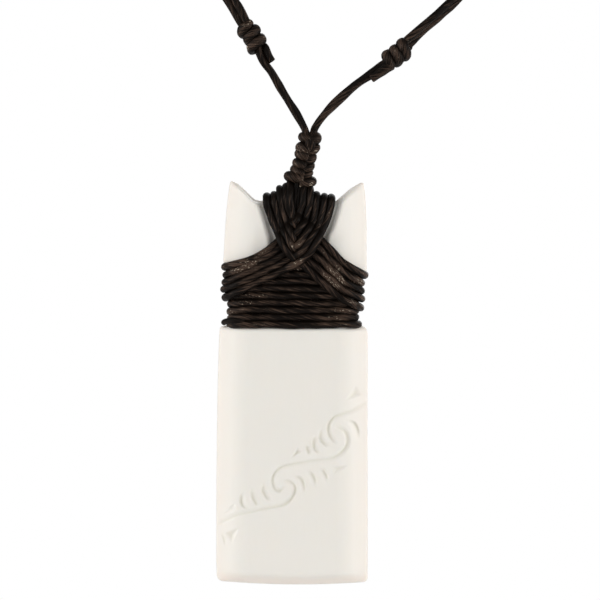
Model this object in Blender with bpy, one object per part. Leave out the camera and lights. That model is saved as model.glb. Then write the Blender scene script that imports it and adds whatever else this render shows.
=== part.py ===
"""Bone pendant necklace: a carved bone plate lashed with waxed cord, on an adjustable neck cord.

Metres, +Z up. The wearer faces -Y, so the pendant's front faces -Y. The origin is the point at
the nape on which the neck cord rests. The pendant's own pieces are built round the middle of the
plate's bottom edge and parented to an empty there.
"""

import math

import bmesh
import bpy
from mathutils import Matrix, Vector

MM = 0.001

# Bone plate
PLATE_HEIGHT = 56.0 * MM
PLATE_HALF_WIDTH = 10.45 * MM
PLATE_THICKNESS = 5.0 * MM
RIM_THICKNESS = 1.6 * MM
WAIST_RIM_THICKNESS = 0.2 * MM
UPPER_HALF_WIDTH = 9.95 * MM
TIP_HALF_WIDTH = 9.3 * MM
SIDE_ROUND = 3.2 * MM
BOTTOM_ROUND = 1.4 * MM
TOP_ROUND = 0.9 * MM
CORNER_RADIUS = 1.0 * MM
ROUND_POWER = 2.3
WAIST_ROUND_POWER = 2.0

# Recess round the plate that the waist binding fills
WAIST_BOTTOM = 35.5 * MM
WAIST_LENGTH = 10.3 * MM
WAIST_HALF_WIDTH = 8.5 * MM
WAIST_THICKNESS = 3.8 * MM
SHOULDER = 0.15 * MM

# Notch between the horns and the channels below it
NOTCH_DEPTH = 2.7 * MM
CHANNEL_DEPTH = 1.0 * MM
CHANNEL_FOOT_HALF_WIDTH = 3.2 * MM
CHANNEL_TOP_HALF_WIDTH = 7.0 * MM

# Top edge from horn tip to middle: share of the tip's half-width, share of the notch's depth
TOP_EDGE = (
    (1.00, 0.00),
    (0.91, 0.10),
    (0.81, 0.37),
    (0.69, 0.78),
    (0.60, 0.95),
    (0.50, 1.00),
    (0.00, 1.00),
)

# Binding cord
LASHING_DIAMETER = 0.84 * MM
LASHING_GAP = 0.12 * MM
STRAND_GAP = 0.08 * MM
WAIST_TURNS = 9
CROSS_TURNS = 5
EDGE_DROP = 1.6 * MM
CROSSING_DROP = 2.9 * MM
FAN_INNER = 1.06 * MM
FAN_LIFT = 1.0 * MM
FAN_REST = 0.2 * MM
MIDDLE_HALF_WIDTH = 4.9 * MM

# Plaited column
COLUMN_FOOT_X = 0.35 * MM
COLUMN_TOP_X = 1.6 * MM
COLUMN_HEIGHT = 6.6 * MM
COLUMN_RADIUS = 1.05 * MM
COLUMN_STRAND = 1.0 * MM
COLUMN_TURNS = 2.5
COLUMN_CORE_SHARE = 0.8
COLUMN_UNDER_SHARE = 0.86
COLLAR_RADIUS = 1.55 * MM
COLLAR_STRAND = 1.3 * MM
COLLAR_TILT = math.radians(9)
TAIL_DIAMETER = 0.8 * MM
TAIL_LENGTH = 4.2 * MM

# Neck cord
NECK_CORD_DIAMETER = 1.0 * MM
NECK_CORD_GAP = 0.12 * MM
JOINT_GAP = 0.25 * MM
KNOT_CORD = 0.96 * MM
KNOT_PITCH = 1.05 * MM
KNOT_TURNS = 3
LEFT_TAG = 2.0 * MM
RIGHT_TAG = 3.5 * MM
LEFT_PAIR_TURN = math.radians(30)
RIGHT_PAIR_TURN = math.radians(65)
CORD_STEP = 3.0 * MM
ROUTE_STEPS = 12
PENDANT_Y = -122.0 * MM
COLUMN_TOP_Z = -98.0 * MM

# The neck cord's route, chosen by hand (x, y, z in mm): each side runs from the column's top
# to its sliding knot, on to where the hidden stretch takes over, and round to the nape
LEFT_BELOW_KNOT = (
    (1.05, -122.0, -97.7),
    (-0.4, -122.0, -95.1),
    (-2.2, -122.0, -92.3),
    (-3.8, -122.0, -89.6),
    (-5.1, -122.0, -87.8),
    (-6.2, -122.0, -85.1),
)
LEFT_FRONT = (
    (-7.7, -121.8, -82.9),
    (-9.6, -121.4, -79.5),
    (-14.5, -120.0, -72.5),
    (-23.0, -116.3, -61.5),
    (-34.0, -109.0, -50.0),
    (-46.0, -97.0, -39.5),
    (-56.0, -80.5, -30.5),
    (-62.0, -60.0, -23.0),
)
LEFT_BACK = (
    (-62.0, -41.0, -16.8),
    (-56.0, -23.5, -11.0),
    (-43.5, -10.0, -5.6),
    (-23.5, -1.9, -1.6),
)
NAPE = (0.0, 0.5, 0.0)
RIGHT_BELOW_KNOT = (
    (2.15, -122.0, -97.7),
    (2.9, -122.0, -96.4),
    (4.1, -122.0, -94.9),
    (6.3, -122.0, -92.7),
    (8.5, -122.0, -90.9),
    (10.7, -122.0, -89.3),
    (13.8, -122.0, -87.0),
)
RIGHT_FRONT = (
    (17.0, -121.8, -84.0),
    (21.0, -121.2, -80.4),
    (28.0, -118.6, -72.8),
    (37.0, -112.6, -61.8),
    (47.0, -101.5, -49.0),
    (56.0, -84.0, -35.5),
    (61.5, -64.0, -24.5),
)
RIGHT_BACK = (
    (62.0, -43.0, -17.3),
    (56.0, -23.5, -11.0),
    (43.5, -10.0, -5.6),
    (23.5, -1.9, -1.6),
)

# Carved band on the front, in mm from the middle of the bottom edge.
# Long lines: stations (x, z, half-width of the cut)
BAND_LINES = (
    (
        (-9.9, 8.35, 0.2),
        (-7.8, 9.4, 0.22),
        (-5.6, 9.95, 0.2),
        (-3.5, 10.4, 0.2),
        (-1.1, 10.9, 0.24),
        (-0.1, 11.8, 0.3),
        (0.35, 13.1, 0.3),
        (-0.1, 14.0, 0.22),
        (-1.1, 14.3, 0.16),
    ),
    (
        (-1.6, 13.0, 0.2),
        (-2.2, 12.8, 0.22),
        (-2.8, 13.4, 0.22),
        (-2.95, 14.6, 0.24),
        (-2.3, 15.8, 0.24),
        (-0.3, 16.6, 0.22),
        (3.6, 17.2, 0.2),
        (6.0, 17.65, 0.24),
        (7.35, 18.75, 0.36),
        (7.7, 20.1, 0.38),
        (7.3, 21.2, 0.28),
        (6.2, 21.6, 0.18),
    ),
    (
        (5.6, 19.7, 0.18),
        (4.8, 20.8, 0.24),
        (4.8, 22.2, 0.26),
        (5.9, 23.4, 0.24),
        (8.2, 24.15, 0.24),
        (10.2, 25.2, 0.24),
    ),
)
# Claw cuts: start, middle and end of each arc (x, z)
CLAWS = (
    ((-7.15, 12.3), (-7.2, 11.2), (-6.5, 10.4)),
    ((-5.85, 12.7), (-5.6, 11.7), (-5.0, 10.9)),
    ((-4.2, 13.6), (-4.15, 12.5), (-3.35, 11.55)),
    ((0.45, 14.9), (1.4, 14.1), (1.6, 12.85)),
    ((2.3, 15.5), (2.9, 14.8), (3.15, 13.85)),
    ((4.1, 15.9), (4.5, 15.15), (4.7, 14.5)),
    ((1.8, 19.15), (1.85, 18.6), (2.1, 18.05)),
    ((2.85, 20.3), (2.75, 19.1), (3.4, 18.2)),
    ((3.7, 21.0), (3.7, 19.9), (4.6, 19.15)),
    ((7.65, 22.65), (8.6, 21.95), (9.0, 20.7)),
)
# Chip cuts: the three corners of each (x, z), the first the deepest
CHIPS = (
    ((-8.1, 10.6), (-8.3, 11.2), (-9.8, 9.6)),
    ((-8.55, 6.7), (-7.6, 7.8), (-9.4, 6.6)),
    ((5.6, 15.9), (7.4, 16.3), (5.5, 15.3)),
    ((0.6, 18.4), (0.6, 18.9), (-0.3, 17.5)),
    ((8.8, 26.5), (8.5, 27.6), (7.1, 25.4)),
)
CLAW_HALF_WIDTH = 0.24 * MM
CLAW_END_SHARE = 0.45
CHIP_DEPTH = 0.3 * MM
CUT_DEPTH_SHARE = 0.6
CUT_LIFT = 0.25 * MM

BONE_COLOUR = (0.83, 0.80, 0.73, 1.0)
CORD_COLOUR = (0.018, 0.013, 0.012, 1.0)
BONE_ROUGHNESS = 0.45
CORD_ROUGHNESS = 0.5

# Places worked out from the sizes above
WAIST_TOP = WAIST_BOTTOM + WAIST_LENGTH
NOTCH_Z = PLATE_HEIGHT - NOTCH_DEPTH
LAY = LASHING_DIAMETER + STRAND_GAP
LAYER = LASHING_DIAMETER + LASHING_GAP
FIRST_CLEAR = LASHING_GAP + LASHING_DIAMETER / 2
FAN_PITCH = LAY * 1.03
EDGE_PITCH = LAY * 1.14
CROSSING_PITCH = LAY * 1.5
FAN_TOP = NOTCH_Z + FIRST_CLEAR + FAN_LIFT + LASHING_DIAMETER / 2
COLLAR_Z = FAN_TOP + LASHING_GAP + COLLAR_STRAND / 2 + COLLAR_RADIUS * math.sin(COLLAR_TILT)
COLUMN_FOOT_Z = COLLAR_Z
COLUMN_TOP = COLUMN_FOOT_Z + COLUMN_HEIGHT
PAIR_SPACING = NECK_CORD_DIAMETER + NECK_CORD_GAP


def clear_scene():
    for obj in list(bpy.data.objects):
        bpy.data.objects.remove(obj, do_unlink=True)


def new_collection(name):
    collection = bpy.data.collections.new(name)
    bpy.context.scene.collection.children.link(collection)
    return collection


def new_material(name, colour, roughness):
    material = bpy.data.materials.new(name)
    material.use_nodes = True
    shader = material.node_tree.nodes["Principled BSDF"]
    shader.inputs["Base Color"].default_value = colour
    shader.inputs["Roughness"].default_value = roughness
    shader.inputs["Metallic"].default_value = 0.0
    return material


def mix(a, b, share):
    return a + (b - a) * share


def interpolate(table, at):
    """The second column of a table, read at a value of its first, which falls row by row."""
    for (high, high_value), (low, low_value) in zip(table, table[1:]):
        if at >= low:
            return mix(low_value, high_value, (at - low) / (high - low))
    return table[-1][1]


def smooth_curve(keys, steps):
    """Points of a Catmull-Rom curve through keys, with the given number of steps to each span."""
    points = []
    for i in range(len(keys) - 1):
        before = keys[max(i - 1, 0)]
        start, end = keys[i], keys[i + 1]
        after = keys[min(i + 2, len(keys) - 1)]
        count = steps[i] if isinstance(steps, (list, tuple)) else steps
        for k in range(count):
            t = k / count
            points.append(
                0.5
                * (
                    2 * start
                    + (end - before) * t
                    + (2 * before - 5 * start + 4 * end - after) * t * t
                    + (3 * start - before - 3 * end + after) * t ** 3
                )
            )
    points.append(keys[-1])
    return points


def curve_object(name, points, diameter, resolution, radii=None):
    """A tube with filled caps on a poly spline."""
    data = bpy.data.curves.new(name, "CURVE")
    data.dimensions = "3D"
    data.bevel_depth = diameter / 2
    data.bevel_resolution = resolution
    data.use_fill_caps = True
    spline = data.splines.new("POLY")
    spline.points.add(len(points) - 1)
    for i, point in enumerate(points):
        spline.points[i].co = (*point, 1.0)
        spline.points[i].radius = radii[i] if radii else 1.0
    return bpy.data.objects.new(name, data)


def mesh_from_curve(obj):
    """The curve's tube as a closed mesh object, which Booleans can use."""
    bpy.context.scene.collection.objects.link(obj)
    bpy.context.view_layer.update()
    graph = bpy.context.evaluated_depsgraph_get()
    mesh = bpy.data.meshes.new_from_object(obj.evaluated_get(graph))
    bm = bmesh.new()
    bm.from_mesh(mesh)
    bmesh.ops.remove_doubles(bm, verts=bm.verts, dist=1e-7)
    bmesh.ops.recalc_face_normals(bm, faces=bm.faces)
    bm.to_mesh(mesh)
    bm.free()
    name = obj.name
    bpy.data.objects.remove(obj)
    result = bpy.data.objects.new(name, mesh)
    return result


def smooth_shade(obj, degrees=40):
    obj.data.shade_smooth()
    obj.data.set_sharp_from_angle(angle=math.radians(degrees))


def add_boolean(obj, name, operation, other=None, collection=None):
    modifier = obj.modifiers.new(name, "BOOLEAN")
    modifier.operation = operation
    modifier.solver = "EXACT"
    if collection:
        modifier.operand_type = "COLLECTION"
        modifier.collection = collection
    else:
        modifier.object = other


def make_cutter(obj, collection):
    obj.hide_render = True
    obj.display_type = "WIRE"
    collection.objects.link(obj)


# Plate


def top_edge(x):
    """Height of the plate's top edge, which dips between the horns."""
    share = min(abs(x) / TIP_HALF_WIDTH, 1.0)
    return PLATE_HEIGHT - NOTCH_DEPTH * interpolate(TOP_EDGE, share)


def waist_share(z):
    """1 in the recessed waist, 0 outside it, with a short ramp at each shoulder."""
    rise = (z - WAIST_BOTTOM) / SHOULDER
    fall = (WAIST_TOP - z) / SHOULDER
    return max(0.0, min(1.0, rise, fall))


def outline_half_width(z):
    if z < CORNER_RADIUS:
        rise = CORNER_RADIUS - max(z, 0.0)
        body = PLATE_HALF_WIDTH - CORNER_RADIUS + math.sqrt(CORNER_RADIUS ** 2 - rise ** 2)
    elif z < WAIST_BOTTOM + SHOULDER:
        body = PLATE_HALF_WIDTH
    else:
        share = min(1.0, max(0.0, (z - WAIST_TOP) / (PLATE_HEIGHT - WAIST_TOP)))
        body = UPPER_HALF_WIDTH - (UPPER_HALF_WIDTH - TIP_HALF_WIDTH) * share ** 2.2
    return mix(body, WAIST_HALF_WIDTH, waist_share(z))


def rounding(distance, reach, power=ROUND_POWER):
    """Share of full thickness at a distance from a rounded rim."""
    inward = min(1.0, max(0.0, distance / reach))
    return (1 - (1 - inward) ** power) ** (1 / power)


def half_thickness(x, z):
    waist = waist_share(z)
    full = mix(PLATE_THICKNESS, WAIST_THICKNESS, waist) / 2
    rim = min(mix(RIM_THICKNESS, WAIST_RIM_THICKNESS, waist) / 2, full)
    side_reach = mix(SIDE_ROUND, WAIST_THICKNESS / 2, waist)
    power = mix(ROUND_POWER, WAIST_ROUND_POWER, waist)
    share = (
        rounding(outline_half_width(z) - abs(x), side_reach, power)
        * rounding(z, BOTTOM_ROUND)
        * rounding(top_edge(x) - z, TOP_ROUND)
    )
    return mix(rim, full, share)


def plate_rows():
    """Heights of the plate's sections, as functions of a column's own top edge."""
    low = [0.0, 0.12, 0.4, 0.7, 1.0]
    heights = [BOTTOM_ROUND * share for share in low]
    body_rows = 6
    for i in range(1, body_rows + 1):
        heights.append(mix(BOTTOM_ROUND, WAIST_BOTTOM, i / body_rows))
    heights.append(WAIST_BOTTOM + SHOULDER)
    heights.append(mix(WAIST_BOTTOM, WAIST_TOP, 0.5))
    heights.append(WAIST_TOP - SHOULDER)
    heights.append(WAIST_TOP)
    upper = [0.3, 0.55, 0.75, 0.88, 0.95, 1.0]
    return heights, upper


def build_plate(collection, cutters, engraving, material):
    shares = (0.0, 0.22, 0.42, 0.56, 0.69, 0.78, 0.86, 0.92, 0.96, 0.99, 1.0)
    columns = [-share for share in reversed(shares[1:])] + list(shares)
    heights, upper = plate_rows()
    bm = bmesh.new()
    sides = []
    for facing in (-1, 1):
        grid = []
        for column in columns:
            line = []
            for z in heights:
                x = column * outline_half_width(z)
                line.append(bm.verts.new((x, facing * half_thickness(x, z), z)))
            for share in upper:
                x = column * TIP_HALF_WIDTH
                for _ in range(6):
                    z = mix(WAIST_TOP, top_edge(x), share)
                    x = column * outline_half_width(z)
                z = mix(WAIST_TOP, top_edge(x), share)
                line.append(bm.verts.new((x, facing * half_thickness(x, z), z)))
            grid.append(line)
        sides.append(grid)
    front, back = sides
    last_row = len(front[0]) - 1
    for i in range(len(columns) - 1):
        for j in range(last_row):
            for grid, turn in ((front, 1), (back, -1)):
                corners = (grid[i][j], grid[i + 1][j], grid[i + 1][j + 1], grid[i][j + 1])
                bm.faces.new(corners[::turn])
        bm.faces.new((back[i][0], back[i + 1][0], front[i + 1][0], front[i][0]))
        bm.faces.new((front[i][last_row], front[i + 1][last_row], back[i + 1][last_row], back[i][last_row]))
    for j in range(last_row):
        bm.faces.new((front[0][j], front[0][j + 1], back[0][j + 1], back[0][j]))
        bm.faces.new((back[-1][j], back[-1][j + 1], front[-1][j + 1], front[-1][j]))
    bmesh.ops.recalc_face_normals(bm, faces=bm.faces)
    mesh = bpy.data.meshes.new("bone_plate")
    bm.to_mesh(mesh)
    bm.free()
    plate = bpy.data.objects.new("bone_plate", mesh)
    plate.data.materials.append(material)
    collection.objects.link(plate)
    for facing in (-1, 1):
        cutter = channel_cutter(facing)
        make_cutter(cutter, cutters)
        add_boolean(plate, cutter.name, "DIFFERENCE", other=cutter)
    add_boolean(plate, "carved_band", "DIFFERENCE", collection=engraving)
    smooth_shade(plate)
    return plate


def channel_cutter(facing):
    """A tapered block that opens the channel under the fan of strands, on one face."""
    floor = PLATE_THICKNESS / 2 - CHANNEL_DEPTH
    outside = PLATE_THICKNESS
    foot_z = WAIST_TOP - SHOULDER
    head_z = PLATE_HEIGHT + CHANNEL_DEPTH
    bm = bmesh.new()
    bmesh.ops.create_cube(bm, size=1.0)
    for vert in bm.verts:
        high = vert.co.z > 0
        half_width = CHANNEL_TOP_HALF_WIDTH if high else CHANNEL_FOOT_HALF_WIDTH
        vert.co.x = math.copysign(half_width, vert.co.x)
        vert.co.z = head_z if high else foot_z
        vert.co.y = facing * (outside if vert.co.y > 0 else floor)
    bm.normal_update()
    bmesh.ops.recalc_face_normals(bm, faces=bm.faces)
    name = "channel_front" if facing < 0 else "channel_back"
    mesh = bpy.data.meshes.new(name)
    bm.to_mesh(mesh)
    bm.free()
    return bpy.data.objects.new(name, mesh)


def cut_tube(name, stations, collection, resolution=1):
    """A tapering round cutter that follows the plate's front face through (x, z, half-width)."""
    widest = max(half_width for _, _, half_width in stations)
    points = []
    for x, z, half_width in stations:
        lift = half_width * (1 - CUT_DEPTH_SHARE)
        points.append(Vector((x, -half_thickness(x, z) - lift, z)))
    radii = [half_width / widest for _, _, half_width in stations]
    tube = mesh_from_curve(curve_object(name, points, 2 * widest, resolution, radii))
    make_cutter(tube, collection)


def cut_chip(name, corners, collection):
    """A three-sided pyramid cutter that leaves a chip, deepest near its first corner."""
    bm = bmesh.new()
    spots = [Vector(corner) * MM for corner in corners]
    for spot in spots:
        bm.verts.new((spot.x, -half_thickness(spot.x, spot.y) - CUT_LIFT, spot.y))
    deepest = spots[0].lerp((spots[1] + spots[2]) / 2, CUT_DEPTH_SHARE / 2)
    floor = half_thickness(deepest.x, deepest.y) - CHIP_DEPTH
    bm.verts.new((deepest.x, -floor, deepest.y))
    bmesh.ops.convex_hull(bm, input=bm.verts)
    bm.normal_update()
    bmesh.ops.recalc_face_normals(bm, faces=bm.faces)
    mesh = bpy.data.meshes.new(name)
    bm.to_mesh(mesh)
    bm.free()
    make_cutter(bpy.data.objects.new(name, mesh), collection)


def build_engraving(collection):
    for number, line in enumerate(BAND_LINES, 1):
        keys = [Vector((x * MM, z * MM, half_width * MM)) for x, z, half_width in line]
        cut_tube(f"band_line_{number}", [tuple(p) for p in smooth_curve(keys, 2)], collection)
    for number, claw in enumerate(CLAWS, 1):
        end = CLAW_HALF_WIDTH * CLAW_END_SHARE
        half_widths = (end, CLAW_HALF_WIDTH, end)
        keys = [Vector((x * MM, z * MM, half)) for (x, z), half in zip(claw, half_widths)]
        cut_tube(f"claw_{number}", [tuple(p) for p in smooth_curve(keys, 2)], collection)
    for number, corners in enumerate(CHIPS, 1):
        cut_chip(f"chip_{number}", corners, collection)


# Bindings


def add_tube(name, points, diameter, resolution, material, collection, parent=None):
    tube = curve_object(name, points, diameter, resolution)
    tube.data.materials.append(material)
    collection.objects.link(tube)
    tube.parent = parent
    return tube


def build_waist_lashing(collection, material, pendant):
    """One cord wound round the waist, rising one pitch each turn."""
    reach = WAIST_HALF_WIDTH + FIRST_CLEAR
    depth = WAIST_THICKNESS / 2 + FIRST_CLEAR
    first = WAIST_BOTTOM + SHOULDER + FIRST_CLEAR
    last = WAIST_TOP - SHOULDER - FIRST_CLEAR
    end_steps = 6
    bulge = 1 / math.cos(math.pi / end_steps / 2)
    ring = []
    for side in (-1, 1):
        for k in range(end_steps + 1):
            turn = math.pi * (k / end_steps - 0.5)
            x = side * (reach - depth + depth * bulge * math.cos(turn))
            ring.append((x, side * depth * math.sin(turn)))
    total = WAIST_TURNS * len(ring)
    points = []
    for i in range(total):
        x, y = ring[i % len(ring)]
        points.append(Vector((x, y, mix(first, last, i / (total - 1)))))
    add_tube("waist_lashing", points, LASHING_DIAMETER, 1, material, collection, pendant)


def cross_pass(strand, side, over):
    """Keys of one diagonal pass on the front, from the waist's edge to the notch's top.

    strand runs from 0 at the innermost strand to CROSS_TURNS - 1, side is the waist edge that
    the pass starts at (-1 left, 1 right), and over tells whether it lies on the other band.
    """
    spread = strand / (CROSS_TURNS - 1)
    depth = WAIST_THICKNESS / 2 + FIRST_CLEAR + LAYER
    reach = WAIST_HALF_WIDTH + FIRST_CLEAR + LAYER
    edge_centre = reach - depth
    edge_z = WAIST_TOP - EDGE_DROP - EDGE_PITCH * strand
    crossing_z = NOTCH_Z - CROSSING_DROP - CROSSING_PITCH * strand
    middle_z = mix(edge_z, crossing_z, mix(0.27, 0.47, spread))
    inner_z = mix(edge_z, middle_z, (reach - edge_centre) / (reach - MIDDLE_HALF_WIDTH))
    fan_x = FAN_INNER + FAN_PITCH * strand
    fan_z = NOTCH_Z - FAN_REST
    top_z = NOTCH_Z + FIRST_CLEAR + mix(FAN_LIFT, FAN_REST, spread)
    raised = depth + (LAYER if over else 0.0)
    middle_depth = depth + (0.6 * LAYER if over else 0.0)
    channel_depth = PLATE_THICKNESS / 2 - CHANNEL_DEPTH + LASHING_GAP + LASHING_DIAMETER
    inner_depth = channel_depth + (LAYER * 1.2 if over else LAYER * 0.6)
    outer_depth = channel_depth + LASHING_GAP * 2
    fan_depth = mix(inner_depth, outer_depth, spread)
    slack_depth = raised if over else mix(depth, fan_depth, 0.6)
    arch = 2 ** (-1 / 2.6)
    keys = [
        (side * reach, 0.0, edge_z),
        (side * (edge_centre + depth * 0.707), -depth * 0.707, mix(edge_z, inner_z, 0.3)),
        (side * edge_centre, -depth, inner_z),
        (side * MIDDLE_HALF_WIDTH, -middle_depth, middle_z),
        (0.0, -raised, crossing_z),
        (-side * 0.6 * fan_x, -slack_depth, mix(crossing_z, fan_z, 0.45)),
        (-side * fan_x, -fan_depth, fan_z),
        (-side * fan_x, -fan_depth * arch, mix(fan_z, top_z, arch)),
        (-side * fan_x, 0.0, top_z),
    ]
    return [Vector(key) for key in keys]


PASS_STEPS = (2, 2, 2, 2, 2, 1, 1, 1)


def build_cross_lashing(name, side, over, collection, material, pendant):
    """Five diagonal turns: up the front, over the notch and down the back to the next turn."""
    points = []
    for turn in range(CROSS_TURNS):
        front = smooth_curve(cross_pass(turn, side, over), PASS_STEPS)
        following = min(turn + 1, CROSS_TURNS - 1)
        last = turn == CROSS_TURNS - 1
        back_here = smooth_curve(cross_pass(turn, side, over), PASS_STEPS)
        back_next = smooth_curve(cross_pass(following, side, over), PASS_STEPS)
        count = len(back_here)
        back = []
        for i in range(count):
            shift = 1 - i / (count - 1)
            spot = back_here[i].lerp(back_next[i], shift)
            back.append(Vector((spot.x, -spot.y, spot.z)))
        points.extend(front[:-1])
        points.extend(list(reversed(back))[: count - (3 if last else 1)])
    add_tube(name, points, LASHING_DIAMETER, 1, material, collection, pendant)


# Column


def build_column(collection, cutters, material, pendant):
    """Two strands wound opposite ways on a leaning core, with a collar and two tucked tails."""
    foot = Vector((COLUMN_FOOT_X, 0.0, COLUMN_FOOT_Z))
    top = Vector((COLUMN_TOP_X, 0.0, COLUMN_TOP - COLUMN_STRAND / 2))
    axis = (top - foot).normalized()
    across = Vector((0, 1, 0)).cross(axis)
    core_radius = COLUMN_RADIUS * COLUMN_CORE_SHARE
    steps = 11
    count = round(COLUMN_TURNS * steps)
    pieces = []
    for hand, radius in ((1, COLUMN_RADIUS), (-1, COLUMN_RADIUS * COLUMN_UNDER_SHARE)):
        points = []
        for i in range(count + 1):
            turn = 2 * math.pi * i / steps
            spot = foot.lerp(top, i / count)
            spot = spot + across * radius * math.cos(turn) * hand
            spot = spot + Vector((0, 1, 0)) * radius * math.sin(turn)
            points.append(spot)
        name = f"column_strand_{'left' if hand < 0 else 'right'}"
        pieces.append(mesh_from_curve(curve_object(name, points, COLUMN_STRAND, 1)))
    head = top + axis * COLUMN_STRAND * 0.3
    core = mesh_from_curve(curve_object("column_core", [foot, head], 2 * core_radius, 2))
    pieces.append(core)
    ring = []
    ring_steps = 12
    tilt = Matrix.Rotation(COLLAR_TILT, 4, "Y")
    for i in range(ring_steps):
        turn = 2 * math.pi * i / ring_steps
        flat = Vector((COLLAR_RADIUS * math.cos(turn), 0.72 * COLLAR_RADIUS * math.sin(turn), 0))
        ring.append(foot + tilt @ flat)
    collar_curve = curve_object("column_collar", ring, COLLAR_STRAND, 1)
    collar_curve.data.splines[0].use_cyclic_u = True
    collar_curve.data.use_fill_caps = False
    pieces.append(mesh_from_curve(collar_curve))
    for facing, word in ((-1, "front"), (1, "back")):
        depth = PLATE_THICKNESS / 2 - CHANNEL_DEPTH + LASHING_GAP + TAIL_DIAMETER / 2
        keys = [
            Vector((COLUMN_FOOT_X, facing * COLLAR_RADIUS * 0.5, COLLAR_Z)),
            Vector((0.0, facing * mix(COLLAR_RADIUS * 0.5, depth, 0.8), FAN_TOP - LASHING_DIAMETER)),
            Vector((0.0, facing * depth, NOTCH_Z)),
            Vector((0.0, facing * depth, COLLAR_Z - TAIL_LENGTH)),
        ]
        tail = curve_object(f"tail_{word}", smooth_curve(keys, 2), TAIL_DIAMETER, 1)
        pieces.append(mesh_from_curve(tail))
    column = pieces[0]
    column.name = "column_knot"
    column.data.materials.append(material)
    collection.objects.link(column)
    column.parent = pendant
    for piece in pieces[1:]:
        piece.parent = pendant
        make_cutter(piece, cutters)
        add_boolean(column, piece.name, "UNION", other=piece)
    smooth_shade(column, 60)


# Neck cord


class Route:
    """The neck cord's route as one smooth curve from the column's left side round to its right."""

    def __init__(self):
        left = LEFT_BELOW_KNOT + LEFT_FRONT + LEFT_BACK + (NAPE,)
        right = RIGHT_BELOW_KNOT + RIGHT_FRONT + RIGHT_BACK
        keys = [Vector(point) * MM for point in left + right[::-1]]
        self.points = smooth_curve(keys, ROUTE_STEPS)
        self.lengths = [0.0]
        for before, after in zip(self.points, self.points[1:]):
            self.lengths.append(self.lengths[-1] + (after - before).length)
        self.total = self.lengths[-1]
        self.left_knot = self.length_to(LEFT_BELOW_KNOT)
        self.left_side = self.length_to(LEFT_BELOW_KNOT + LEFT_FRONT)
        self.right_knot = self.length_from(RIGHT_BELOW_KNOT)
        self.right_side = self.length_from(RIGHT_BELOW_KNOT + RIGHT_FRONT)

    def length_to(self, section):
        """Length along the route to the last point of a section at its start."""
        return self.lengths[(len(section) - 1) * ROUTE_STEPS]

    def length_from(self, section):
        """Length along the route to the first point of a section at its end."""
        return self.lengths[-1 - (len(section) - 1) * ROUTE_STEPS]

    def at(self, distance):
        distance = min(max(distance, 0.0), self.total)
        low, high = 0, len(self.lengths) - 1
        while high - low > 1:
            middle = (low + high) // 2
            if self.lengths[middle] <= distance:
                low = middle
            else:
                high = middle
        span = self.lengths[high] - self.lengths[low]
        return self.points[low].lerp(self.points[high], (distance - self.lengths[low]) / span)

    def frame(self, distance):
        """Direction along the route, direction away from the neck, and the one across both."""
        step = 1.0 * MM
        along = (self.at(distance + step) - self.at(distance - step)).normalized()
        centre = Vector((0.0, PENDANT_Y / 2, 0.0))
        spot = self.at(distance)
        outward = Vector((spot.x, spot.y - centre.y, 0.0)).normalized()
        if distance < self.left_knot or distance > self.right_knot:
            outward = Vector((0.0, -1.0, 0.0))
        outward = (outward - along * outward.dot(along)).normalized()
        return along, outward, along.cross(outward)

    def pair_direction(self, distance):
        """Direction from the first strand to the second where two run side by side."""
        _, outward, across = self.frame(distance)
        share = (distance - self.left_knot) / (self.right_knot - self.left_knot)
        share = min(max(share, 0.0), 1.0)
        turn = LEFT_PAIR_TURN if share < 0.5 else RIGHT_PAIR_TURN
        turn *= abs(2 * share - 1) ** 1.5
        return across * math.cos(turn) + outward * math.sin(turn), share

    def strand(self, start, end, which):
        """Points of strand 0 or 1 between two distances along the route."""
        count = max(2, round((end - start) / CORD_STEP))
        points = []
        for i in range(count + 1):
            distance = mix(start, end, i / count)
            direction, share = self.pair_direction(distance)
            offset = -share if which == 0 else 1 - share
            points.append(self.at(distance) + direction * PAIR_SPACING * offset)
        return points


def build_neck_cords(route, collection, material):
    half_gap = JOINT_GAP / 2
    half_knot = KNOT_PITCH * KNOT_TURNS / 2
    tied_clear = half_knot + KNOT_CORD / 2 + JOINT_GAP
    stretches = (
        ("front_cord_left_running", 0.0, route.left_side - half_gap, 0),
        ("front_cord_left_tied", route.left_knot + tied_clear, route.left_side - half_gap, 1),
        ("neck_cord_inner", route.left_side + half_gap, route.right_side - half_gap, 0),
        ("neck_cord_outer", route.left_side + half_gap, route.right_side - half_gap, 1),
        ("front_cord_right_tied", route.right_side + half_gap, route.right_knot - tied_clear, 0),
        ("front_cord_right_running", route.right_side + half_gap, route.total, 1),
    )
    for name, start, end, which in stretches:
        points = route.strand(start, end, which)
        add_tube(name, points, NECK_CORD_DIAMETER, 2, material, collection)


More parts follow.
